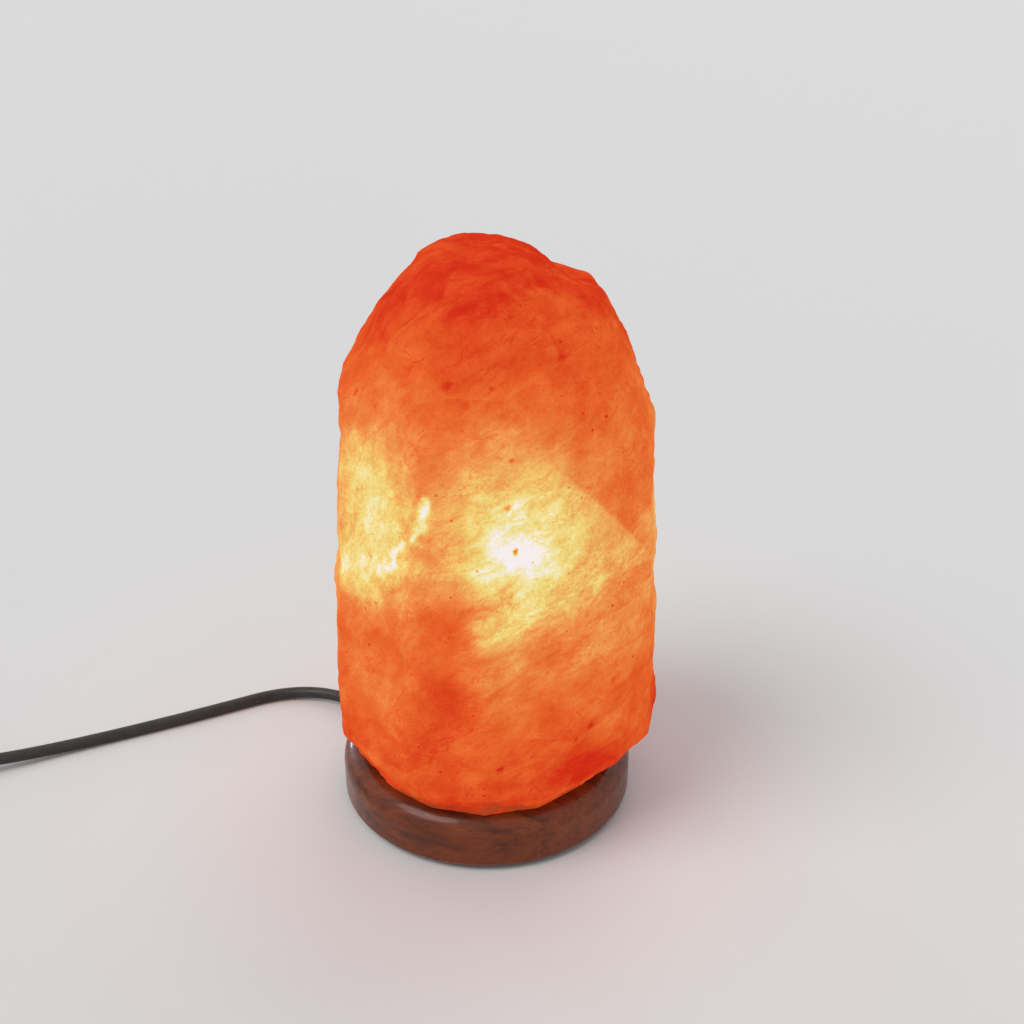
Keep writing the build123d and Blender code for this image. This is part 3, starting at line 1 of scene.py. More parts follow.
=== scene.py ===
"""A salt crystal lamp: the looks of its pieces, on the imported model's frame, in metres."""

import math

import bpy
import numpy as np
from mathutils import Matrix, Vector, noise


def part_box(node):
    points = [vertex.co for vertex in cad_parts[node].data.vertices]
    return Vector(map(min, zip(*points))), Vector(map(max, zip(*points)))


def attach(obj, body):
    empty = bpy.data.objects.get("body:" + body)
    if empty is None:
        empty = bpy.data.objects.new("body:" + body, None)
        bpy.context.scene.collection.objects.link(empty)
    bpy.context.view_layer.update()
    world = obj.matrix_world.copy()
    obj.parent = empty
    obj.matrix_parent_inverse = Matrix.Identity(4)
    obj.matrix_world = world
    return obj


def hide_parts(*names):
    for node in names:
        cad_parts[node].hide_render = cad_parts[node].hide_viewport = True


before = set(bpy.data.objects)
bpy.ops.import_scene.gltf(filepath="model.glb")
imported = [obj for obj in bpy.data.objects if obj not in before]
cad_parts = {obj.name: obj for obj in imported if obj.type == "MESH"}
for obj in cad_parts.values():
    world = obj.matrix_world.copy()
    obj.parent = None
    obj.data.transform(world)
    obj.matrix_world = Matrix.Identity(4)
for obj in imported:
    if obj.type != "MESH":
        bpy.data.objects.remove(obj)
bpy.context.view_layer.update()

MM = 0.001

# ------------------------------------------------------------------------------ camera
CAMERA_PLACE = (0.0102, -0.4323, 0.3333)
CAMERA_PITCH_DOWN = 26.18  # degrees below level
CAMERA_LENS = 45.7
SENSOR_WIDTH = 36.0

# ----------------------------------------------------------------------- floor and light
FLOOR_HALF_SIZE = 8.0
FLOOR_COLOUR = (0.86, 0.845, 0.82, 1.0)
WORLD_LIGHT = (0.9, 0.93, 1.0, 1.0)
WORLD_LIGHT_STRENGTH = 0.45
WORLD_SEEN = (0.80, 0.79, 0.77, 1.0)

# Far soft lamps: name, place, how soft in degrees, strength and colour. The window is low and
# faint, and leaves a cool glint on the foot.
LAMPS = (
    ("key_lamp", (-0.9, -0.5, 1.4), 35.0, 1.1, (1.0, 1.0, 1.0)),
    ("back_lamp", (0.6, 1.2, 1.2), 50.0, 0.4, (1.0, 1.0, 1.0)),
    ("window_lamp", (-0.65, 0.76, 0.12), 8.0, 0.35, (0.72, 0.84, 1.0)),
)

# ------------------------------------------------------------------------------- cords
CORD_DIAMETER = 5.0 * MM
CORD_LIE = 2.55  # millimetres, as are all the route's values below
CORD_START = (-3.97, 3.04, 7.6)
CORD_TO_SWITCH = (
    (-39.7, 30.5, 7.6),
    (-81.6, 62.9, CORD_LIE),
    (-129.5, 38.2, CORD_LIE),
    (-172.0, 18.6, CORD_LIE),
    (-204.0, 2.9, 5.0),
    (-222.5, -3.2, 7.5),
)
SWITCH_START = (-236.0, -6.6)
SWITCH_HEADING = 194.0
SWITCH_LENGTH = 60.0
SWITCH_CORD_HEIGHT = 7.5
SWITCH_CORD_REACH = 13.0
SWITCH_RUN_OUT = 6.0
COIL_ENTRY = (-344.0, -33.5)
COIL_MIDDLE_RADIUS = 30.0
COIL_TURNS_A_LAYER = 3
COIL_LAYERS = 2
COIL_PITCH = 6.5
COIL_LAYER_HEIGHT = 5.6
COIL_RUN_IN = 12.0
COIL_POINTS_A_TURN = 16
PLUG_START = (-314.0, 57.2, 6.85)
PLUG_HEADING = 4.0
PLUG_RUN_IN = 6.0
PLUG_CORD_DEPTH = 8.0

# ------------------------------------------------------------------------------- stone
STONE_VOXEL = 1.2 * MM
CAVITY_RADIUS = 27.5  # millimetres, as are all the stone's values below; a little over the bore
CAVITY_TOP = 136.5
STONE_UNDER = 22.0

# The stone's layers rise to the right across its front.
LAYER_UP = Vector((-0.48, 0.22, 0.85)).normalized()
LAYER_ALONG = Vector((0.85, 0.0, 0.48)).normalized()

# The skin is hewn in flat cells, with fine ridges along the layers, small grains and cracks.
FACET_SEED = 7
FACET_SIZE = 15.0
FACET_SLOPE = 0.10
FACET_EDGE_SHARE = 0.16
FACET_EDGE_DEPTH = 0.25
FACET_EDGE_EASE = 0.35  # how much of a facet's relief is left at its edge
RIDGE_ACROSS = 3.2
RIDGE_ALONG = 15.0
RIDGE_HEIGHT = 0.42
GRAIN_SIZE = 3.4
GRAIN_HEIGHT = 0.16
CRACK_REACH = 1.3
FOOT_WEAR_DEPTH = 1.1
FOOT_WEAR_SIZE = 5.0
FOOT_WEAR_FULL_BELOW = 24.0
FOOT_WEAR_NONE_ABOVE = 40.0
SKIN_SINK = 0.35  # the skin lies this much inside the solid, so that its high points fit in it

# The glow is strongest at the bulb's height and weakest at the stone's two ends. The edges of
# its bright and dark places wander, and fray.
GLOW_LEAST = 0.14
GLOW_RISE = 0.38
GLOW_HEIGHT = 112.0
GLOW_REACH = 68.0
GLOW_WANDER = 4.5
GLOW_FRAY = 2.0
RIM_HEIGHT = 27.0
RIM_DULLNESS = 0.85

# Where the bulb shines through: x, y, z, reach, and how much brighter it is there.
GLOW_SPOTS = (
    (8.4, -56.4, 132.6, 8.0, 0.24),
    (10.0, -54.5, 141.0, 10.0, 0.15),
    (16.0, -56.1, 131.0, 25.0, 0.32),
    (24.0, -55.0, 120.0, 14.0, 0.06),
    (11.0, -52.0, 166.0, 23.0, 0.24),
    (-12.0, -54.0, 146.0, 14.0, 0.08),
    (46.0, -30.0, 172.0, 28.0, 0.09),
    (-32.0, -42.0, 184.0, 20.0, 0.16),
    (-39.0, -37.0, 152.0, 20.0, 0.38),
    (-34.0, -44.0, 128.0, 19.0, 0.29),
    (-48.0, -32.0, 111.0, 18.0, 0.19),
    (48.0, -38.0, 121.0, 14.0, 0.11),
    (9.0, -58.0, 85.0, 12.0, 0.11),
    (28.0, -24.0, 209.0, 17.0, 0.13),
    (-46.0, 28.0, 130.0, 30.0, 0.40),
    (8.0, 56.0, 126.0, 32.0, 0.48),
    (56.0, 20.0, 128.0, 28.0, 0.34),
)

# Painted shade in the glow, in bands where less of the bulb's light comes through: two ends,
# reach, and how much darker it is along them.
SHADED_BANDS = (
    ((-10.0, -46.0, 196.0), (-11.0, -52.0, 166.0), 8.0, 0.05),
    ((-12.0, -55.0, 142.0), (-12.0, -57.0, 124.0), 7.0, 0.04),
    ((-13.0, -57.0, 106.0), (-12.0, -58.0, 76.0), 9.0, 0.12),
    ((-8.0, -57.0, 100.0), (0.0, -58.0, 98.0), 7.0, 0.08),
    ((-40.0, -40.0, 96.0), (-18.0, -55.0, 114.0), 11.0, 0.12),
    ((-30.0, -48.0, 84.0), (-21.0, -53.0, 83.0), 9.0, 0.07),
    ((-52.0, -28.0, 100.0), (-50.0, -28.0, 72.0), 9.0, 0.12),
    ((8.0, -47.0, 193.0), (26.0, -40.0, 195.0), 8.0, 0.09),
    ((28.0, -52.0, 73.0), (46.0, -40.0, 75.0), 11.0, 0.09),
    ((-13.0, -52.0, 52.0), (0.0, -54.0, 50.0), 8.0, 0.09),
    ((-9.6, -37.6, 208.0), (6.4, -35.5, 212.6), 2.4, 0.10),
    ((6.4, -35.5, 212.6), (18.6, -20.8, 214.2), 2.4, 0.12),
    ((18.6, -20.8, 214.2), (24.6, -19.0, 211.3), 2.0, 0.10),
    ((-4.2, -58.1, 111.0), (18.8, -55.8, 123.1), 2.0, 0.12),
    ((34.0, -52.0, 47.0), (46.0, -44.0, 44.0), 9.0, 0.16),
)

# Painted shade in the glow, on flats where less of the bulb's light comes through: edges of
# flats with a darker flat beyond them: a place on the edge, the way to the darker side, how far
# the dark fades over, how far along the edge it goes, and how much darker it is.
SHADED_FLATS = (
    ((46.0, -42.0, 138.0), (0.50, 0.42, 0.62), 22.0, 32.0, 0.16),
)

# White streaks, where light comes straight through thin places.
LIGHT_STREAKS = (
    ((-16.6, -53.6, 151.1), (-21.3, -53.8, 136.6), 1.9, 0.42),
    ((-25.9, -50.6, 133.5), (-33.3, -44.4, 119.9), 1.6, 0.30),
    ((-0.5, -59.6, 102.2), (36.6, -49.6, 115.8), 5.0, 0.14),
)

# Small dark grains that the photograph shows: x, y, z, size, and how much darker they are.
DARK_GRAINS = (
    (-41.2, -30.8, 179.9, 1.3, 0.25),
    (-34.5, -39.0, 178.2, 1.2, 0.20),
    (-22.7, -50.0, 170.9, 1.0, 0.20),
    (9.9, -53.0, 165.0, 1.3, 0.35),
    (11.4, -56.1, 133.8, 1.8, 0.80),
    (8.9, -55.1, 149.3, 2.2, 0.35),
    (-0.4, -55.6, 152.4, 1.2, 0.30),
    (5.9, -58.8, 47.3, 1.9, 0.28),
    (16.4, -57.6, 78.7, 1.1, 0.25),
    (37.9, -51.3, 61.7, 1.6, 0.20),
    (32.5, -54.3, 57.4, 1.5, 0.20),
    (3.9, -48.7, 187.8, 1.6, 0.10),
    (26.1, -39.9, 194.3, 2.4, 0.12),
    (-10.3, -47.3, 188.2, 2.4, 0.12),
    (-4.9, -49.8, 182.8, 2.2, 0.10),
)

# Cracks: two ends and how deep they are cut.
CRACKS = (
    ((-9.6, -37.6, 208.0), (6.4, -35.5, 212.6), 0.9),
    ((6.4, -35.5, 212.6), (18.6, -20.8, 214.2), 0.9),
    ((18.6, -20.8, 214.2), (24.6, -19.0, 211.3), 0.9),
    ((11.1, -45.3, 192.8), (17.5, -49.1, 180.8), 0.5),
    ((45.2, -27.8, 184.4), (49.9, -26.4, 176.1), 0.8),
    ((-8.1, -57.2, 116.3), (-8.9, -58.8, 69.1), 0.5),
)

# The glow's colours, from the deep red of the coolest places to white.
HEAT_COLOURS = (
    (0.00, (0.44, 0.003, 0.001)),
    (0.14, (0.51, 0.012, 0.002)),
    (0.26, (0.58, 0.058, 0.008)),
    (0.38, (0.65, 0.115, 0.020)),
    (0.50, (0.69, 0.200, 0.044)),
    (0.60, (0.71, 0.310, 0.080)),
    (0.70, (0.72, 0.470, 0.120)),
    (0.80, (0.73, 0.650, 0.190)),
    (0.90, (0.74, 0.770, 0.380)),
    (1.00, (0.78, 0.830, 0.850)),
)


# ----------------------------------------------------------------------------- helpers
def link(piece):
    """Puts an object into the scene."""
    bpy.context.scene.collection.objects.link(piece)
    return piece


def in_metres(points):
    """Points in millimetres as vectors in metres."""
    return [Vector(point) * MM for point in points]


def heading_vector(degrees):
    """A level direction from its compass angle."""
    turn = math.radians(degrees)
    return Vector((math.cos(turn), math.sin(turn), 0.0))


# ---------------------------------------------------------------------- camera and light
def make_camera():
    """The camera, where the photograph was taken from."""
    data = bpy.data.cameras.new("camera")
    data.lens = CAMERA_LENS
    data.sensor_width = SENSOR_WIDTH
    data.clip_start = 0.01
    camera = link(bpy.data.objects.new("camera", data))
    camera.location = CAMERA_PLACE
    camera.rotation_euler = (math.radians(90 - CAMERA_PITCH_DOWN), 0.0, 0.0)
    bpy.context.scene.camera = camera


def make_lamps():
    """Plain soft studio light, from lamps that shine towards the middle of the floor."""
    for name, place, softness, strength, colour in LAMPS:
        data = bpy.data.lights.new(name, "SUN")
        data.angle = math.radians(softness)
        data.energy = strength
        data.color = colour
        lamp = link(bpy.data.objects.new(name, data))
        lamp.location = place
        lamp.rotation_euler = (-Vector(place)).to_track_quat("-Z", "Y").to_euler()


def make_world():
    """A pale world, whiter where the camera, gloss and glass see it."""
    world = bpy.data.worlds.new("studio")
    bpy.context.scene.world = world
    world.use_nodes = True
    tree = world.node_tree
    light = tree.nodes["Background"]
    light.inputs["Color"].default_value = WORLD_LIGHT
    light.inputs["Strength"].default_value = WORLD_LIGHT_STRENGTH
    seen = tree.nodes.new("ShaderNodeBackground")
    seen.inputs["Color"].default_value = WORLD_SEEN
    seen.inputs["Strength"].default_value = 1.0
    mix = tree.nodes.new("ShaderNodeMixShader")
    tree.links.new(seen_directly(tree), mix.inputs["Fac"])
    tree.links.new(light.outputs[0], mix.inputs[1])
    tree.links.new(seen.outputs[0], mix.inputs[2])
    tree.links.new(mix.outputs[0], tree.nodes["World Output"].inputs["Surface"])


def seen_directly(tree):
    """1 for rays from the camera and those that gloss or glass sends on, and else 0."""
    path = tree.nodes.new("ShaderNodeLightPath")
    total = path.outputs["Is Camera Ray"]
    for name in ("Is Glossy Ray", "Is Transmission Ray"):
        join = tree.nodes.new("ShaderNodeMath")
        join.operation = "MAXIMUM"
        tree.links.new(total, join.inputs[0])
        tree.links.new(path.outputs[name], join.inputs[1])
        total = join.outputs[0]
    return total


def make_floor():
    """A plain pale floor."""
    size = FLOOR_HALF_SIZE
    mesh = bpy.data.meshes.new("floor")
    corners = [(-size, -size, 0), (size, -size, 0), (size, size, 0), (-size, size, 0)]
    mesh.from_pydata(corners, [], [(0, 1, 2, 3)])
    floor = link(bpy.data.objects.new("floor", mesh))
    graph = Graph("floor_paint")
    graph.set(**{"Base Color": FLOOR_COLOUR, "Roughness": 0.75})
    mesh.materials.append(graph.material)


# ------------------------------------------------------------------------------- cords
def spline(name, points):
    """A round cord whose middle line is one smooth spline near these points."""
    curve = bpy.data.curves.new(name, "CURVE")
    curve.dimensions = "3D"
    curve.bevel_depth = 1.0  # times each point's own radius
    curve.bevel_resolution = 6
    curve.resolution_u = 12
    curve.use_fill_caps = True
    line = curve.splines.new("NURBS")
    line.points.add(len(points) - 1)
    for target, point in zip(line.points, points):
        target.co = (*point, 1.0)
        target.radius = CORD_DIAMETER / 2
    line.order_u = 3
    line.use_endpoint_u = True
    return link(bpy.data.objects.new(name, curve))


def switch_point(reach):
    """A point on the cord's middle at this distance along the switch."""
    start = Vector((*SWITCH_START, SWITCH_CORD_HEIGHT))
    return start + heading_vector(SWITCH_HEADING) * reach


def coil_point(turns):
    """The cord's middle after so many turns: in a spiral, up half a turn, and out again."""
    outward = heading_vector(SWITCH_HEADING + 90)
    outer = COIL_MIDDLE_RADIUS + COIL_PITCH * COIL_TURNS_A_LAYER / 2
    inner = COIL_MIDDLE_RADIUS - COIL_PITCH * COIL_TURNS_A_LAYER / 2
    middle = Vector((*COIL_ENTRY, CORD_LIE)) - outward * outer
    stage = COIL_TURNS_A_LAYER + 0.5
    layer = min(int(turns / stage), COIL_LAYERS - 1)
    within = turns - layer * stage
    run = min(within, COIL_TURNS_A_LAYER)
    climb = max(0.0, within - COIL_TURNS_A_LAYER) * 2
    radius = inner + COIL_PITCH * (run if layer % 2 else COIL_TURNS_A_LAYER - run)
    rise = climb * climb * (3 - 2 * climb)
    lift = Vector((0, 0, COIL_LAYER_HEIGHT * (layer + rise)))
    return middle + heading_vector(SWITCH_HEADING + 90 - 360 * turns) * radius + lift


def make_cords():
    """The cord in two stretches: lamp to switch, and switch through the coil to the plug."""
    first = spline(
        "lamp_cord",
        in_metres([CORD_START, *CORD_TO_SWITCH, switch_point(SWITCH_CORD_REACH)]),
    )
    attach(first, "lamp")
    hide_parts("cord_lamp_to_switch")
    turns = COIL_LAYERS * COIL_TURNS_A_LAYER + (COIL_LAYERS - 1) / 2
    steps = int(turns * COIL_POINTS_A_TURN)
    coil = [coil_point(number / COIL_POINTS_A_TURN) for number in range(steps + 1)]
    inward = (coil[1] - coil[0]).normalized()
    outward = (coil[-1] - coil[-2]).normalized()
    plug = Vector(PLUG_START)
    plug_heading = heading_vector(PLUG_HEADING)
    route = [
        switch_point(SWITCH_LENGTH - SWITCH_CORD_REACH),
        switch_point(SWITCH_LENGTH + SWITCH_RUN_OUT),
        coil[0] - heading_vector(SWITCH_HEADING) * COIL_RUN_IN,
        *coil,
        coil[-1] + outward * COIL_RUN_IN,
        plug - plug_heading * PLUG_RUN_IN,
        plug + plug_heading * PLUG_CORD_DEPTH,
    ]
    second = spline("plug_cord", in_metres(route))
    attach(second, "lamp")
    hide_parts("cord_switch_to_coil", "cord_coil", "cord_coil_to_plug")
    return first, second


# --------------------------------------------------------------------------- materials
class Graph:
    """A material's nodes, with short ways to add and join them."""

    def __init__(self, name):
        self.material = bpy.data.materials.new(name)
        self.material.use_nodes = True
        self.tree = self.material.node_tree
        self.shader = self.tree.nodes["Principled BSDF"]
        self.place = None

    def feed(self, node, inputs):
        """Gives a node's inputs their values, or joins them to other nodes' outputs."""
        for name, value in inputs.items():
            socket = node.inputs[name]
            if isinstance(value, bpy.types.NodeSocket):
                self.tree.links.new(value, socket)
            else:
                socket.default_value = value

    def set(self, **inputs):
        """Sets the surface shader's own inputs."""
        self.feed(self.shader, inputs)

    def add(self, kind, inputs, output=0, **settings):
        """Adds a node and returns one of its outputs."""
        node = self.tree.nodes.new("ShaderNode" + kind)
        for name, value in settings.items():
            setattr(node, name, value)
        self.feed(node, inputs)
        return node.outputs[output]

    def coordinates(self):
        """Object coordinates, which are metres in the lamp's frame."""
        if self.place is None:
            self.place = self.add("TexCoord", {}, output="Object")
        return self.place

    def stretched(self, scale, turn=(0.0, 0.0, 0.0)):
        """Object coordinates in a stretched and turned space, for grain with a direction."""
        turned = self.add("Mapping", {"Vector": self.coordinates(), "Rotation": turn})
        return self.add("VectorMath", {0: turned, 1: scale}, operation="MULTIPLY")

    def noise(self, scale, detail=4.0, roughness=0.5, vector=None, distortion=0.0):
        """Soft noise; scale is in waves a metre."""
        values = {
            "Vector": vector or self.coordinates(),
            "Scale": scale,
            "Detail": detail,
            "Roughness": roughness,
            "Distortion": distortion,
        }
        return self.add("TexNoise", values, output="Fac")

    def value(self, name):
        """A number that the mesh holds for each of its points."""
        return self.add("Attribute", {}, output="Fac", attribute_name=name)

    def math(self, operation, first, second=0.0):
        """One sum."""
        return self.add("Math", {0: first, 1: second}, operation=operation)

    def spread(self, value, low, high, to_low, to_high):
        """A value moved from one range into another, and held inside it."""
        values = {
            "Value": value, "From Min": low, "From Max": high, "To Min": to_low, "To Max": to_high,
        }
        return self.add("MapRange", values)

    def blend(self, factor, first, second):
        """Two numbers mixed by a factor."""
        return self.add("Mix", {0: factor, 2: first, 3: second})

    def ramp(self, value, stops):
        """A colour from a value, through (place, (red, green, blue)) stops."""
        node = self.tree.nodes.new("ShaderNodeValToRGB")
        ramp = node.color_ramp
        while len(ramp.elements) < len(stops):
            ramp.elements.new(0.5)
        for element, (place, colour) in zip(ramp.elements, stops):
            element.position = place
            element.color = (*colour, 1.0)
        self.tree.links.new(value, node.inputs["Fac"])
        return node.outputs["Color"]

    def mixed(self, factor, first, second):
        """Two colours mixed by a factor."""
        node = self.tree.nodes.new("ShaderNodeMix")
        node.data_type = "RGBA"
        self.feed(node, {0: factor, 6: first, 7: second})
        return node.outputs[2]

    def bump(self, height, distance, strength=1.0, normal=None):
        """Small relief of this depth in metres."""
        values = {"Height": height, "Distance": distance, "Strength": strength}
        if normal is not None:
            values["Normal"] = normal
        return self.add("Bump", values)


def shades(colour, darker, lighter):
    """A darker and a lighter shade of a colour."""
    return [tuple(channel * share for channel in colour) for share in (darker, lighter)]


def plastic(name, colour, roughness, relief=0.00004, relief_scale=2500.0, coat=0.0):
    """Moulded plastic: a fine pebbled skin and slightly uneven colour and gloss."""
    graph = Graph(name)
    clouds = graph.noise(60.0, detail=5.0)
    dark, light = shades(colour, 0.85, 1.12)
    smudges = graph.noise(35.0, detail=6.0, roughness=0.65)
    skin = graph.noise(relief_scale, detail=2.0)
    graph.set(**{
        "Base Color": graph.ramp(clouds, ((0.3, dark), (0.7, light))),
        "Roughness": graph.spread(smudges, 0.3, 0.7, roughness - 0.07, roughness + 0.1),
        "Normal": graph.bump(skin, relief, strength=0.5),
        "Coat Weight": coat,
    })
    return graph.material


def metal(name, colour, roughness, drawn=(1.0, 1.0, 12.0)):
    """Bare metal with fine drawn lines and dull patches."""
    graph = Graph(name)
    dull = graph.noise(120.0, detail=6.0, roughness=0.6)
    lines = graph.noise(1500.0, detail=3.0, vector=graph.stretched(drawn))
    dark, light = shades(colour, 0.78, 1.05)
    graph.set(**{
        "Base Color": graph.ramp(dull, ((0.3, dark), (0.65, light))),
        "Metallic": 1.0,
        "Roughness": graph.spread(dull, 0.3, 0.7, roughness, roughness + 0.18),
        "Normal": graph.bump(lines, 0.00002, strength=0.4),
    })
    return graph.material


def ceramic(name, colour):
    """Pressed insulating material: matt, with fine grains."""
    graph = Graph(name)
    grains = graph.noise(900.0, detail=4.0, roughness=0.7)
    dark, light = shades(colour, 0.8, 1.08)
    graph.set(**{
        "Base Color": graph.ramp(grains, ((0.35, dark), (0.65, light))),
        "Roughness": graph.spread(grains, 0.3, 0.7, 0.45, 0.65),
        "Normal": graph.bump(grains, 0.00004, strength=0.5),
    })
    return graph.material


def felt(name, colour):
    """Pressed felt: short fibres in all directions and a soft sheen."""
    graph = Graph(name)
    lengthways = graph.stretched((1.0, 2.6, 1.0))
    sideways = graph.stretched((2.6, 1.0, 1.0))
    fibres = graph.noise(1800.0, detail=5.0, roughness=0.8, vector=lengthways)
    crossing = graph.noise(1800.0, detail=5.0, roughness=0.8, vector=sideways)
    both = graph.math("MULTIPLY", fibres, crossing)
    dark, light = shades(colour, 0.6, 1.3)
    graph.set(**{
        "Base Color": graph.ramp(both, ((0.15, dark), (0.4, light))),
        "Roughness": 0.95,
        "Sheen Weight": 0.4,
        "Normal": graph.bump(both, 0.0003, strength=0.8),
    })
    return graph.material


def glass(name):
    """Thin clear bulb glass with slight waves."""
    graph = Graph(name)
    waves = graph.noise(90.0, detail=2.0)
    graph.set(**{
        "Base Color": (1.0, 1.0, 1.0, 1.0),
        "Roughness": 0.03,
        "IOR": 1.5,
        "Transmission Weight": 1.0,
        "Normal": graph.bump(waves, 0.0001, strength=0.3),
    })
    return graph.material


def hot_wire(name):
    """The filament, glowing along its length."""
    graph = Graph(name)
    along = graph.noise(400.0, detail=2.0)
    graph.set(**{
        "Base Color": (0.3, 0.3, 0.3, 1.0),
        "Metallic": 1.0,
        "Roughness": 0.5,
        "Emission Color": graph.ramp(along, ((0.2, (1.0, 0.55, 0.2)), (0.8, (1.0, 0.75, 0.4)))),
        "Emission Strength": 6.0,
    })
    return graph.material


def lacquered_wood():
    """The foot: dark turned wood with long grain and pores, under glossy lacquer."""
    graph = Graph("lacquered_wood")
    board = graph.stretched((0.16, 1.0, 1.0), turn=(0.0, 0.06, 0.35))
    drift = graph.noise(18.0, detail=3.0, vector=board)
    bands = graph.noise(210.0, detail=5.0, roughness=0.6, vector=board, distortion=0.5)
    pore_space = graph.stretched((0.05, 1.0, 1.0))
    pores = graph.noise(1500.0, detail=3.0, roughness=0.7, vector=pore_space)
    dark_pores = graph.spread(pores, 0.56, 0.68, 0.0, 0.75)
    tone = graph.math("MULTIPLY", graph.math("ADD", drift, bands), 0.55)
    grain = graph.ramp(tone, (
        (0.36, (0.030, 0.009, 0.003)),
        (0.48, (0.095, 0.021, 0.006)),
        (0.58, (0.195, 0.038, 0.009)),
        (0.72, (0.270, 0.059, 0.014)),
    ))
    colour = graph.mixed(dark_pores, grain, (0.022, 0.009, 0.005, 1.0))
    wear = graph.noise(45.0, detail=7.0, roughness=0.7)
    relief = graph.bump(pores, 0.00005, strength=0.35)
    orange_peel = graph.bump(graph.noise(380.0, detail=2.0), 0.00006, strength=0.25)
    graph.set(**{
        "Base Color": colour,
        "Roughness": graph.spread(wear, 0.35, 0.7, 0.26, 0.44),
        "Normal": relief,
        "Specular IOR Level": 0.2,
        "Coat Weight": 0.28,
        "Coat Roughness": 0.09,
        "Coat Normal": orange_peel,
    })
    return graph.material


def cord_skin():
    """Soft dark PVC of the cord: satin, with faint rub marks."""
    graph = Graph("cord_skin")
    rubs = graph.noise(140.0, detail=7.0, roughness=0.7)
    dust = graph.noise(900.0, detail=3.0)
    colour = graph.ramp(rubs, ((0.35, (0.012, 0.010, 0.009)), (0.72, (0.040, 0.033, 0.028))))
    graph.set(**{
        "Base Color": colour,
        "Roughness": graph.spread(rubs, 0.3, 0.7, 0.34, 0.55),
        "Normal": graph.bump(dust, 0.00004, strength=0.4),
    })
    return graph.material


def salt_streaks(graph, level):
    """Fine streaks along the stone's layers: level at the front, and steep at the left."""
    steep = graph.stretched((0.30, 0.60, 1.0), turn=(0.0, math.radians(58), 0.0))
    front = graph.noise(300.0, detail=7.0, roughness=0.68, vector=level, distortion=0.6)
    left = graph.noise(300.0, detail=7.0, roughness=0.68, vector=steep, distortion=0.4)
    across = graph.add("SeparateXYZ", {"Vector": graph.coordinates()}, output="X")
    return graph.blend(graph.spread(across, -0.020, -0.006, 0.0, 1.0), left, front)


def salt_seams(graph, level, clouds):
    """Thin broken dark seams, where the clouds are dense."""
    broken = graph.noise(95.0, detail=5.0, roughness=0.6, vector=level, distortion=1.4)
    from_seam = graph.math("ABSOLUTE", graph.math("SUBTRACT", broken, 0.5))
    seams = graph.spread(from_seam, 0.0, 0.012, 0.16, 0.0)
    return graph.math("MULTIPLY", seams, graph.spread(clouds, 0.45, 0.60, 0.0, 1.0))


def salt_specks(graph):
    """A few small dark specks, in some places only."""
    values = {"Vector": graph.coordinates(), "Scale": 160.0, "Randomness": 1.0}
    speck = graph.spread(graph.add("TexVoronoi", values), 0.05, 0.11, 0.3, 0.0)
    rare = graph.spread(graph.noise(220.0, detail=1.0), 0.52, 0.57, 0.0, 1.0)
    return graph.math("MULTIPLY", speck, rare)


def salt_heat(graph, level, streaks, clouds, grains):
    """How hot each place looks: the mesh's own glow, broken up by layers of noise."""
    glow = graph.value("glow")
    patches = graph.noise(34.0, detail=3.0, roughness=0.5)
    crystals = graph.add("TexVoronoi", {"Vector": level, "Scale": 85.0}, output="Color")
    fine = graph.math(
        "ADD",
        graph.spread(streaks, 0.25, 0.75, -0.11, 0.11),
        graph.spread(grains, 0.25, 0.75, -0.08, 0.08),
    )
    contrast = graph.spread(glow, 0.30, 0.80, 0.5, 1.3)
    heat = glow
    for layer in (
        graph.spread(patches, 0.25, 0.75, -0.10, 0.10),
        graph.spread(clouds, 0.25, 0.75, -0.06, 0.06),
        graph.spread(crystals, 0.0, 1.0, -0.05, 0.05),
        graph.math("MULTIPLY", contrast, fine),
    ):
        heat = graph.math("ADD", heat, layer)
    for layer in (salt_seams(graph, level, clouds), salt_specks(graph)):
        heat = graph.math("SUBTRACT", heat, layer)
    return heat


def salt():
    """Rock salt lit from inside. The mesh's own values say how brightly and how dully."""
    graph = Graph("glowing_salt")
    level = graph.stretched((0.36, 0.60, 1.0), turn=(0.0, math.radians(30), 0.0))
    streaks = salt_streaks(graph, level)
    clouds = graph.noise(110.0, detail=5.0, roughness=0.55, distortion=0.3)
    grains = graph.noise(850.0, detail=4.0, roughness=0.7)
    light = graph.ramp(salt_heat(graph, level, streaks, clouds, grains), HEAT_COLOURS)
    # The glow is dulled to a dark red along a broken rim at the foot.
    dulled_foot = graph.math("MULTIPLY", graph.value("dull"), graph.spread(streaks, 0.42, 0.58, 0.3, 1.0))
    light = graph.mixed(dulled_foot, light, (0.22, 0.035, 0.008, 1.0))
    skin = graph.ramp(clouds, ((0.3, (0.20, 0.024, 0.009)), (0.7, (0.28, 0.040, 0.015))))
    relief = graph.bump(streaks, 0.0010, strength=0.5)
    relief = graph.bump(grains, 0.0004, strength=0.5, normal=relief)
    graph.set(**{
        "Base Color": skin,
        "Roughness": graph.spread(grains, 0.3, 0.7, 0.40, 0.65),
        "IOR": 1.54,
        "Specular IOR Level": 0.0,
        "Normal": relief,
        "Emission Color": light,
        "Emission Strength": 1.0,
    })
    return graph.material


# ------------------------------------------------------------------------------- stone
def vertex_rows(mesh, kind):
    """A mesh's points ("co", in metres) or its normals ("normal") as rows."""
    values = np.empty(len(mesh.vertices) * 3, np.float32)
    mesh.vertices.foreach_get(kind, values)
    return values.reshape(-1, 3)


def smooth_step(values, low, high):
    """0 below low, 1 above high, and a smooth rise between."""
    share = np.clip((values - low) / (high - low), 0.0, 1.0)
    return share * share * (3 - 2 * share)


def noise_at(points, size):
    """Smooth noise from -1 to 1 with waves of this size."""
    return np.array([noise.noise(Vector(point)) for point in points / size])


def wander(points, size, shifts):
    """Smooth sideways noise for each point, along its three axes."""
    return np.stack([noise_at(points + shift, size) for shift in shifts], axis=1)


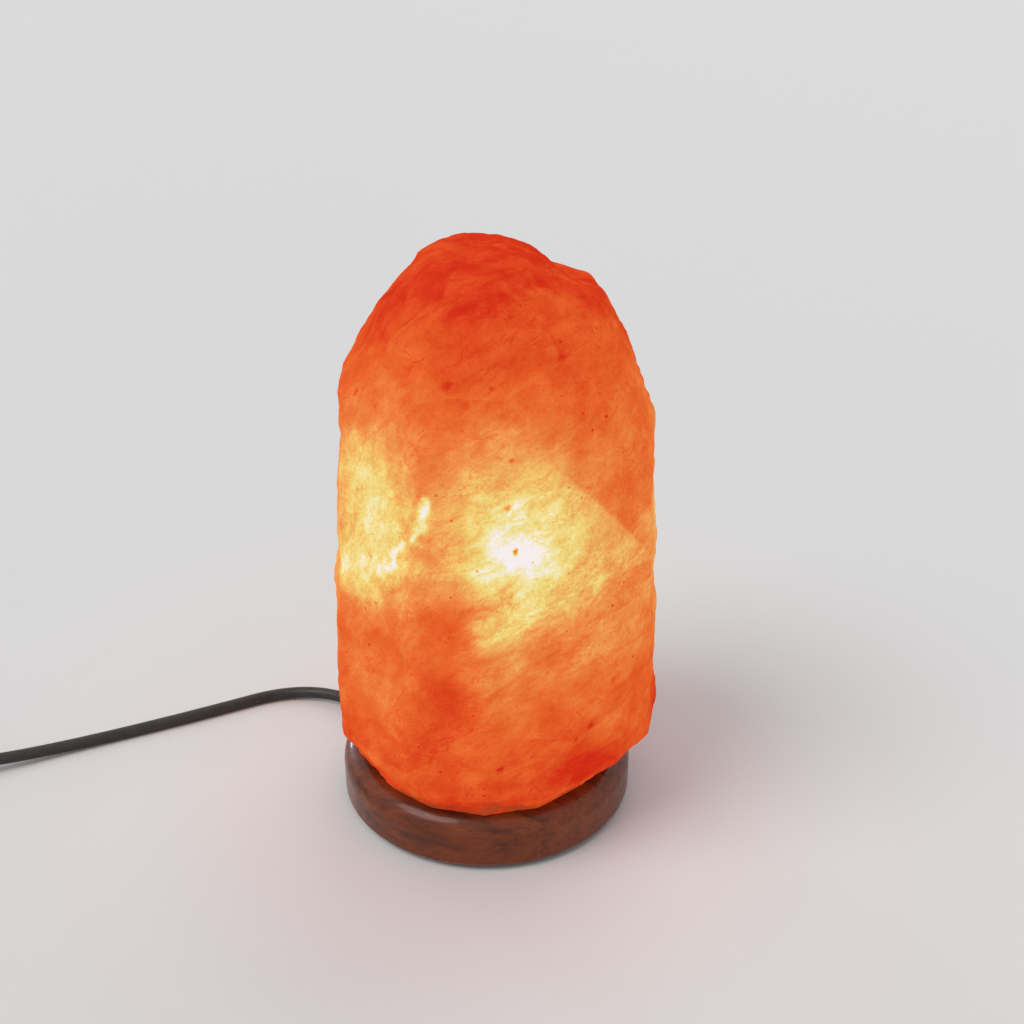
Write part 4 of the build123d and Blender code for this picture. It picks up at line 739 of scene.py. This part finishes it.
def fall_off(distance, reach):
    """1 at no distance, and a bell's smooth fall to 0 beyond this reach."""
    return np.exp(-((distance / reach) ** 2))


def from_place(points, place):
    """Each point's distance from one place."""
    return np.linalg.norm(points - place, axis=1)


def from_line(points, start, end):
    """Each point's distance from a straight line between two places."""
    start, along = np.array(start), np.array(end) - np.array(start)
    share = np.clip((points - start) @ along / (along @ along), 0.0, 1.0)
    return from_place(points, start + share[:, None] * along)


def layered(points, across, along):
    """Points in the stone's layers: squeezed across them and drawn out along them."""
    up = np.array(LAYER_UP)
    level = np.array(LAYER_ALONG)
    side = np.cross(up, level)
    return np.stack([points @ level / along, points @ side / along, points @ up / across], axis=1)


def facets(points):
    """Hewn facets: flat cells, each with its own lean, that meet in soft edges."""
    noise.seed_set(FACET_SEED)
    heights = np.empty(len(points))
    for number, point in enumerate(points / FACET_SIZE):
        distances, centres = noise.voronoi(Vector(point))
        lean = noise.noise_vector(centres[0] * 3.7)
        edge = min((distances[1] - distances[0]) / FACET_EDGE_SHARE, 1.0)
        rise = (Vector(point) - centres[0]).dot(lean) * FACET_SLOPE * FACET_SIZE
        eased = FACET_EDGE_EASE + (1 - FACET_EDGE_EASE) * edge
        heights[number] = (rise - FACET_EDGE_DEPTH * (1 - edge)) * eased
    return heights


def worked_surface(points):
    """How far each point of the stone's skin stands out from the plain solid, in millimetres."""
    warp = wander(points, 9.0, (0.0, 31.0, 67.0))
    height = facets(points + warp * 2.0)
    ridges = noise_at(layered(points + warp * 1.2, RIDGE_ACROSS, RIDGE_ALONG), 1.0)
    height += RIDGE_HEIGHT * ridges
    height += GRAIN_HEIGHT * noise_at(points, GRAIN_SIZE)
    for start, end, depth in CRACKS:
        height -= depth * fall_off(from_line(points, start, end), CRACK_REACH)
    wear = 1 - smooth_step(points[:, 2], FOOT_WEAR_FULL_BELOW, FOOT_WEAR_NONE_ABOVE)
    height -= wear * FOOT_WEAR_DEPTH * np.abs(noise_at(points, FOOT_WEAR_SIZE))
    return height - SKIN_SINK


def outside_share(points):
    """1 on the stone's outside, and 0 in its cavity and on its underside."""
    from_axis = np.linalg.norm(points[:, :2], axis=1)
    in_cavity = (from_axis < CAVITY_RADIUS) & (points[:, 2] < CAVITY_TOP)
    above = smooth_step(points[:, 2], STONE_UNDER + 0.3, STONE_UNDER + 3.0)
    return np.where(in_cavity, 0.0, above)


def glow_values(points):
    """How brightly the bulb shines through each point: 0 is deep red, 1 is white."""
    fine = wander(points, 4.0, (9.0, 37.0, 71.0))
    coarse = wander(points, 11.0, (5.0, 41.0, 83.0))
    moved = points + coarse * GLOW_WANDER + fine * GLOW_FRAY
    glow = GLOW_LEAST + GLOW_RISE * fall_off(points[:, 2] - GLOW_HEIGHT, GLOW_REACH)
    for x, y, z, reach, strength in GLOW_SPOTS:
        glow += strength * fall_off(from_place(moved, (x, y, z)), reach)
    for start, end, reach, strength in LIGHT_STREAKS:
        glow += strength * fall_off(from_line(moved, start, end), reach)
    # Painted shade in the glow along these bands.
    for start, end, reach, strength in SHADED_BANDS:
        glow -= strength * fall_off(from_line(moved, start, end), reach)
    # Painted shade in the glow on these darker flats.
    for place, way, fade, reach, strength in SHADED_FLATS:
        beyond = (points + fine * 0.8 - place) @ np.array(Vector(way).normalized())
        edge = smooth_step(beyond, -0.7, 0.7) * np.exp(-np.maximum(beyond, 0.0) / fade)
        glow -= strength * edge * fall_off(from_place(points, place), reach)
    frayed = points + wander(points, 1.6, (3.0, 17.0, 29.0))
    for x, y, z, size, strength in DARK_GRAINS:
        away = from_place(frayed, (x, y, z))
        glow -= strength * (1 - smooth_step(away, size * 0.4, size * 0.9))
    return glow


def dull_values(points):
    """How dull each point is: the thin broken rim at the foot."""
    rim = RIM_HEIGHT + 3.5 * noise_at(points, 9.0) + 1.8 * noise_at(points, 3.0)
    return RIM_DULLNESS * (1 - smooth_step(points[:, 2] - rim, -1.5, 1.0))


def add_values(mesh, name, values):
    """Stores one number for each point of a mesh, for its material to read."""
    attribute = mesh.attributes.new(name, "FLOAT", "POINT")
    attribute.data.foreach_set("value", values.astype(np.float32))


def even_mesh(node, voxel):
    """A CAD node's mesh with small even faces."""
    copy = link(bpy.data.objects.new("even_mesh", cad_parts[node].data.copy()))
    remesh = copy.modifiers.new("remesh", "REMESH")
    remesh.mode = "VOXEL"
    remesh.voxel_size = voxel
    ready = copy.evaluated_get(bpy.context.evaluated_depsgraph_get())
    mesh = bpy.data.meshes.new_from_object(ready)
    bpy.data.objects.remove(copy)
    return mesh


def make_stone():
    """The hewn block of salt."""
    mesh = even_mesh("salt_crystal", STONE_VOXEL)
    mesh.name = "hewn_salt"
    points = vertex_rows(mesh, "co") / MM
    normals = vertex_rows(mesh, "normal")
    low, high = (np.array(corner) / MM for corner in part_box("salt_crystal"))
    push = worked_surface(points) * outside_share(points)
    points = np.clip(points + normals * push[:, None], low, high)
    mesh.vertices.foreach_set("co", (points * MM).astype(np.float32).ravel())
    add_values(mesh, "glow", glow_values(points))
    add_values(mesh, "dull", dull_values(points))
    mesh.polygons.foreach_set("use_smooth", [True] * len(mesh.polygons))
    mesh.materials.clear()
    mesh.materials.append(salt())
    mesh.update()
    stone = link(bpy.data.objects.new("hewn_salt", mesh))
    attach(stone, "lamp")
    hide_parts("salt_crystal")


# ------------------------------------------------------------------- finishes of nodes
def finishes():
    """Each material of the CAD nodes, with the nodes that have it."""
    brass = (0.80, 0.55, 0.22)
    steel = (0.56, 0.56, 0.57)
    return (
        (lacquered_wood(), ("wooden_base",)),
        (felt("pad_felt", (0.035, 0.032, 0.03)), ("base_pad",)),
        (metal("zinc_steel", steel, 0.28), (
            "base_screws", "cord_clamp_screws", "terminal_screws",
            "holder_grip_screws", "switch_terminal_screws", "switch_grip_screws",
            "switch_housing_screws", "rocker_pin",
        )),
        (metal("spring_steel", (0.42, 0.43, 0.45), 0.22, drawn=(12.0, 12.0, 1.0)), (
            "spring_clip",
        )),
        (plastic("nylon", (0.55, 0.55, 0.53), 0.5), (
            "wall_plugs", "cord_clamp", "holder_cord_grip", "switch_cord_grips",
        )),
        (plastic("holder_plastic", (0.030, 0.029, 0.028), 0.38), (
            "holder_cap", "holder_shell", "clamp_ring",
        )),
        (ceramic("insulator", (0.72, 0.69, 0.63)), ("holder_insert",)),
        (metal("brass", brass, 0.24), (
            "contact_shell", "centre_contact", "holder_terminals", "switch_pivot_contact",
            "switch_fixed_contact", "switch_see_saw", "rocker_plunger",
        )),
        (metal("nickel", (0.66, 0.62, 0.56), 0.16, drawn=(12.0, 1.0, 1.0)), (
            "plug_pins", "bulb_cap",
        )),
        (metal("solder", (0.50, 0.50, 0.52), 0.35), ("bulb_tip", "bulb_leads")),
        (plastic("black_glass", (0.012, 0.012, 0.014), 0.12, relief=0.00001), ("bulb_insulator",)),
        (glass("bulb_glass"), ("bulb_glass", "bulb_stem")),
        (hot_wire("hot_wire"), ("bulb_filament",)),
        (plastic("wire_insulation", (0.21, 0.10, 0.05), 0.4), ("holder_wires", "switch_wires")),
        (plastic("switch_plastic", (0.014, 0.013, 0.013), 0.36, relief=0.00006), (
            "switch_bottom", "switch_top",
        )),
        (plastic("rocker_plastic", (0.020, 0.018, 0.018), 0.2, relief=0.00002, coat=0.3), (
            "switch_rocker",
        )),
        (plastic("plug_pvc", (0.016, 0.015, 0.015), 0.42, relief=0.00007), (
            "plug_body", "plug_strain_relief", "pin_sleeves",
        )),
    )


def finish_nodes():
    """Gives every CAD node that stays its material."""
    for material, names in finishes():
        for name in names:
            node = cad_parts[name]
            for slot in node.material_slots:
                slot.link = "OBJECT"
                slot.material = material


# -------------------------------------------------------------------------------- build
bpy.context.scene.view_settings.view_transform = "Standard"
make_camera()
skin = cord_skin()
for cord in make_cords():
    cord.data.materials.append(skin)
make_world()
make_lamps()
make_floor()
finish_nodes()
make_stone()
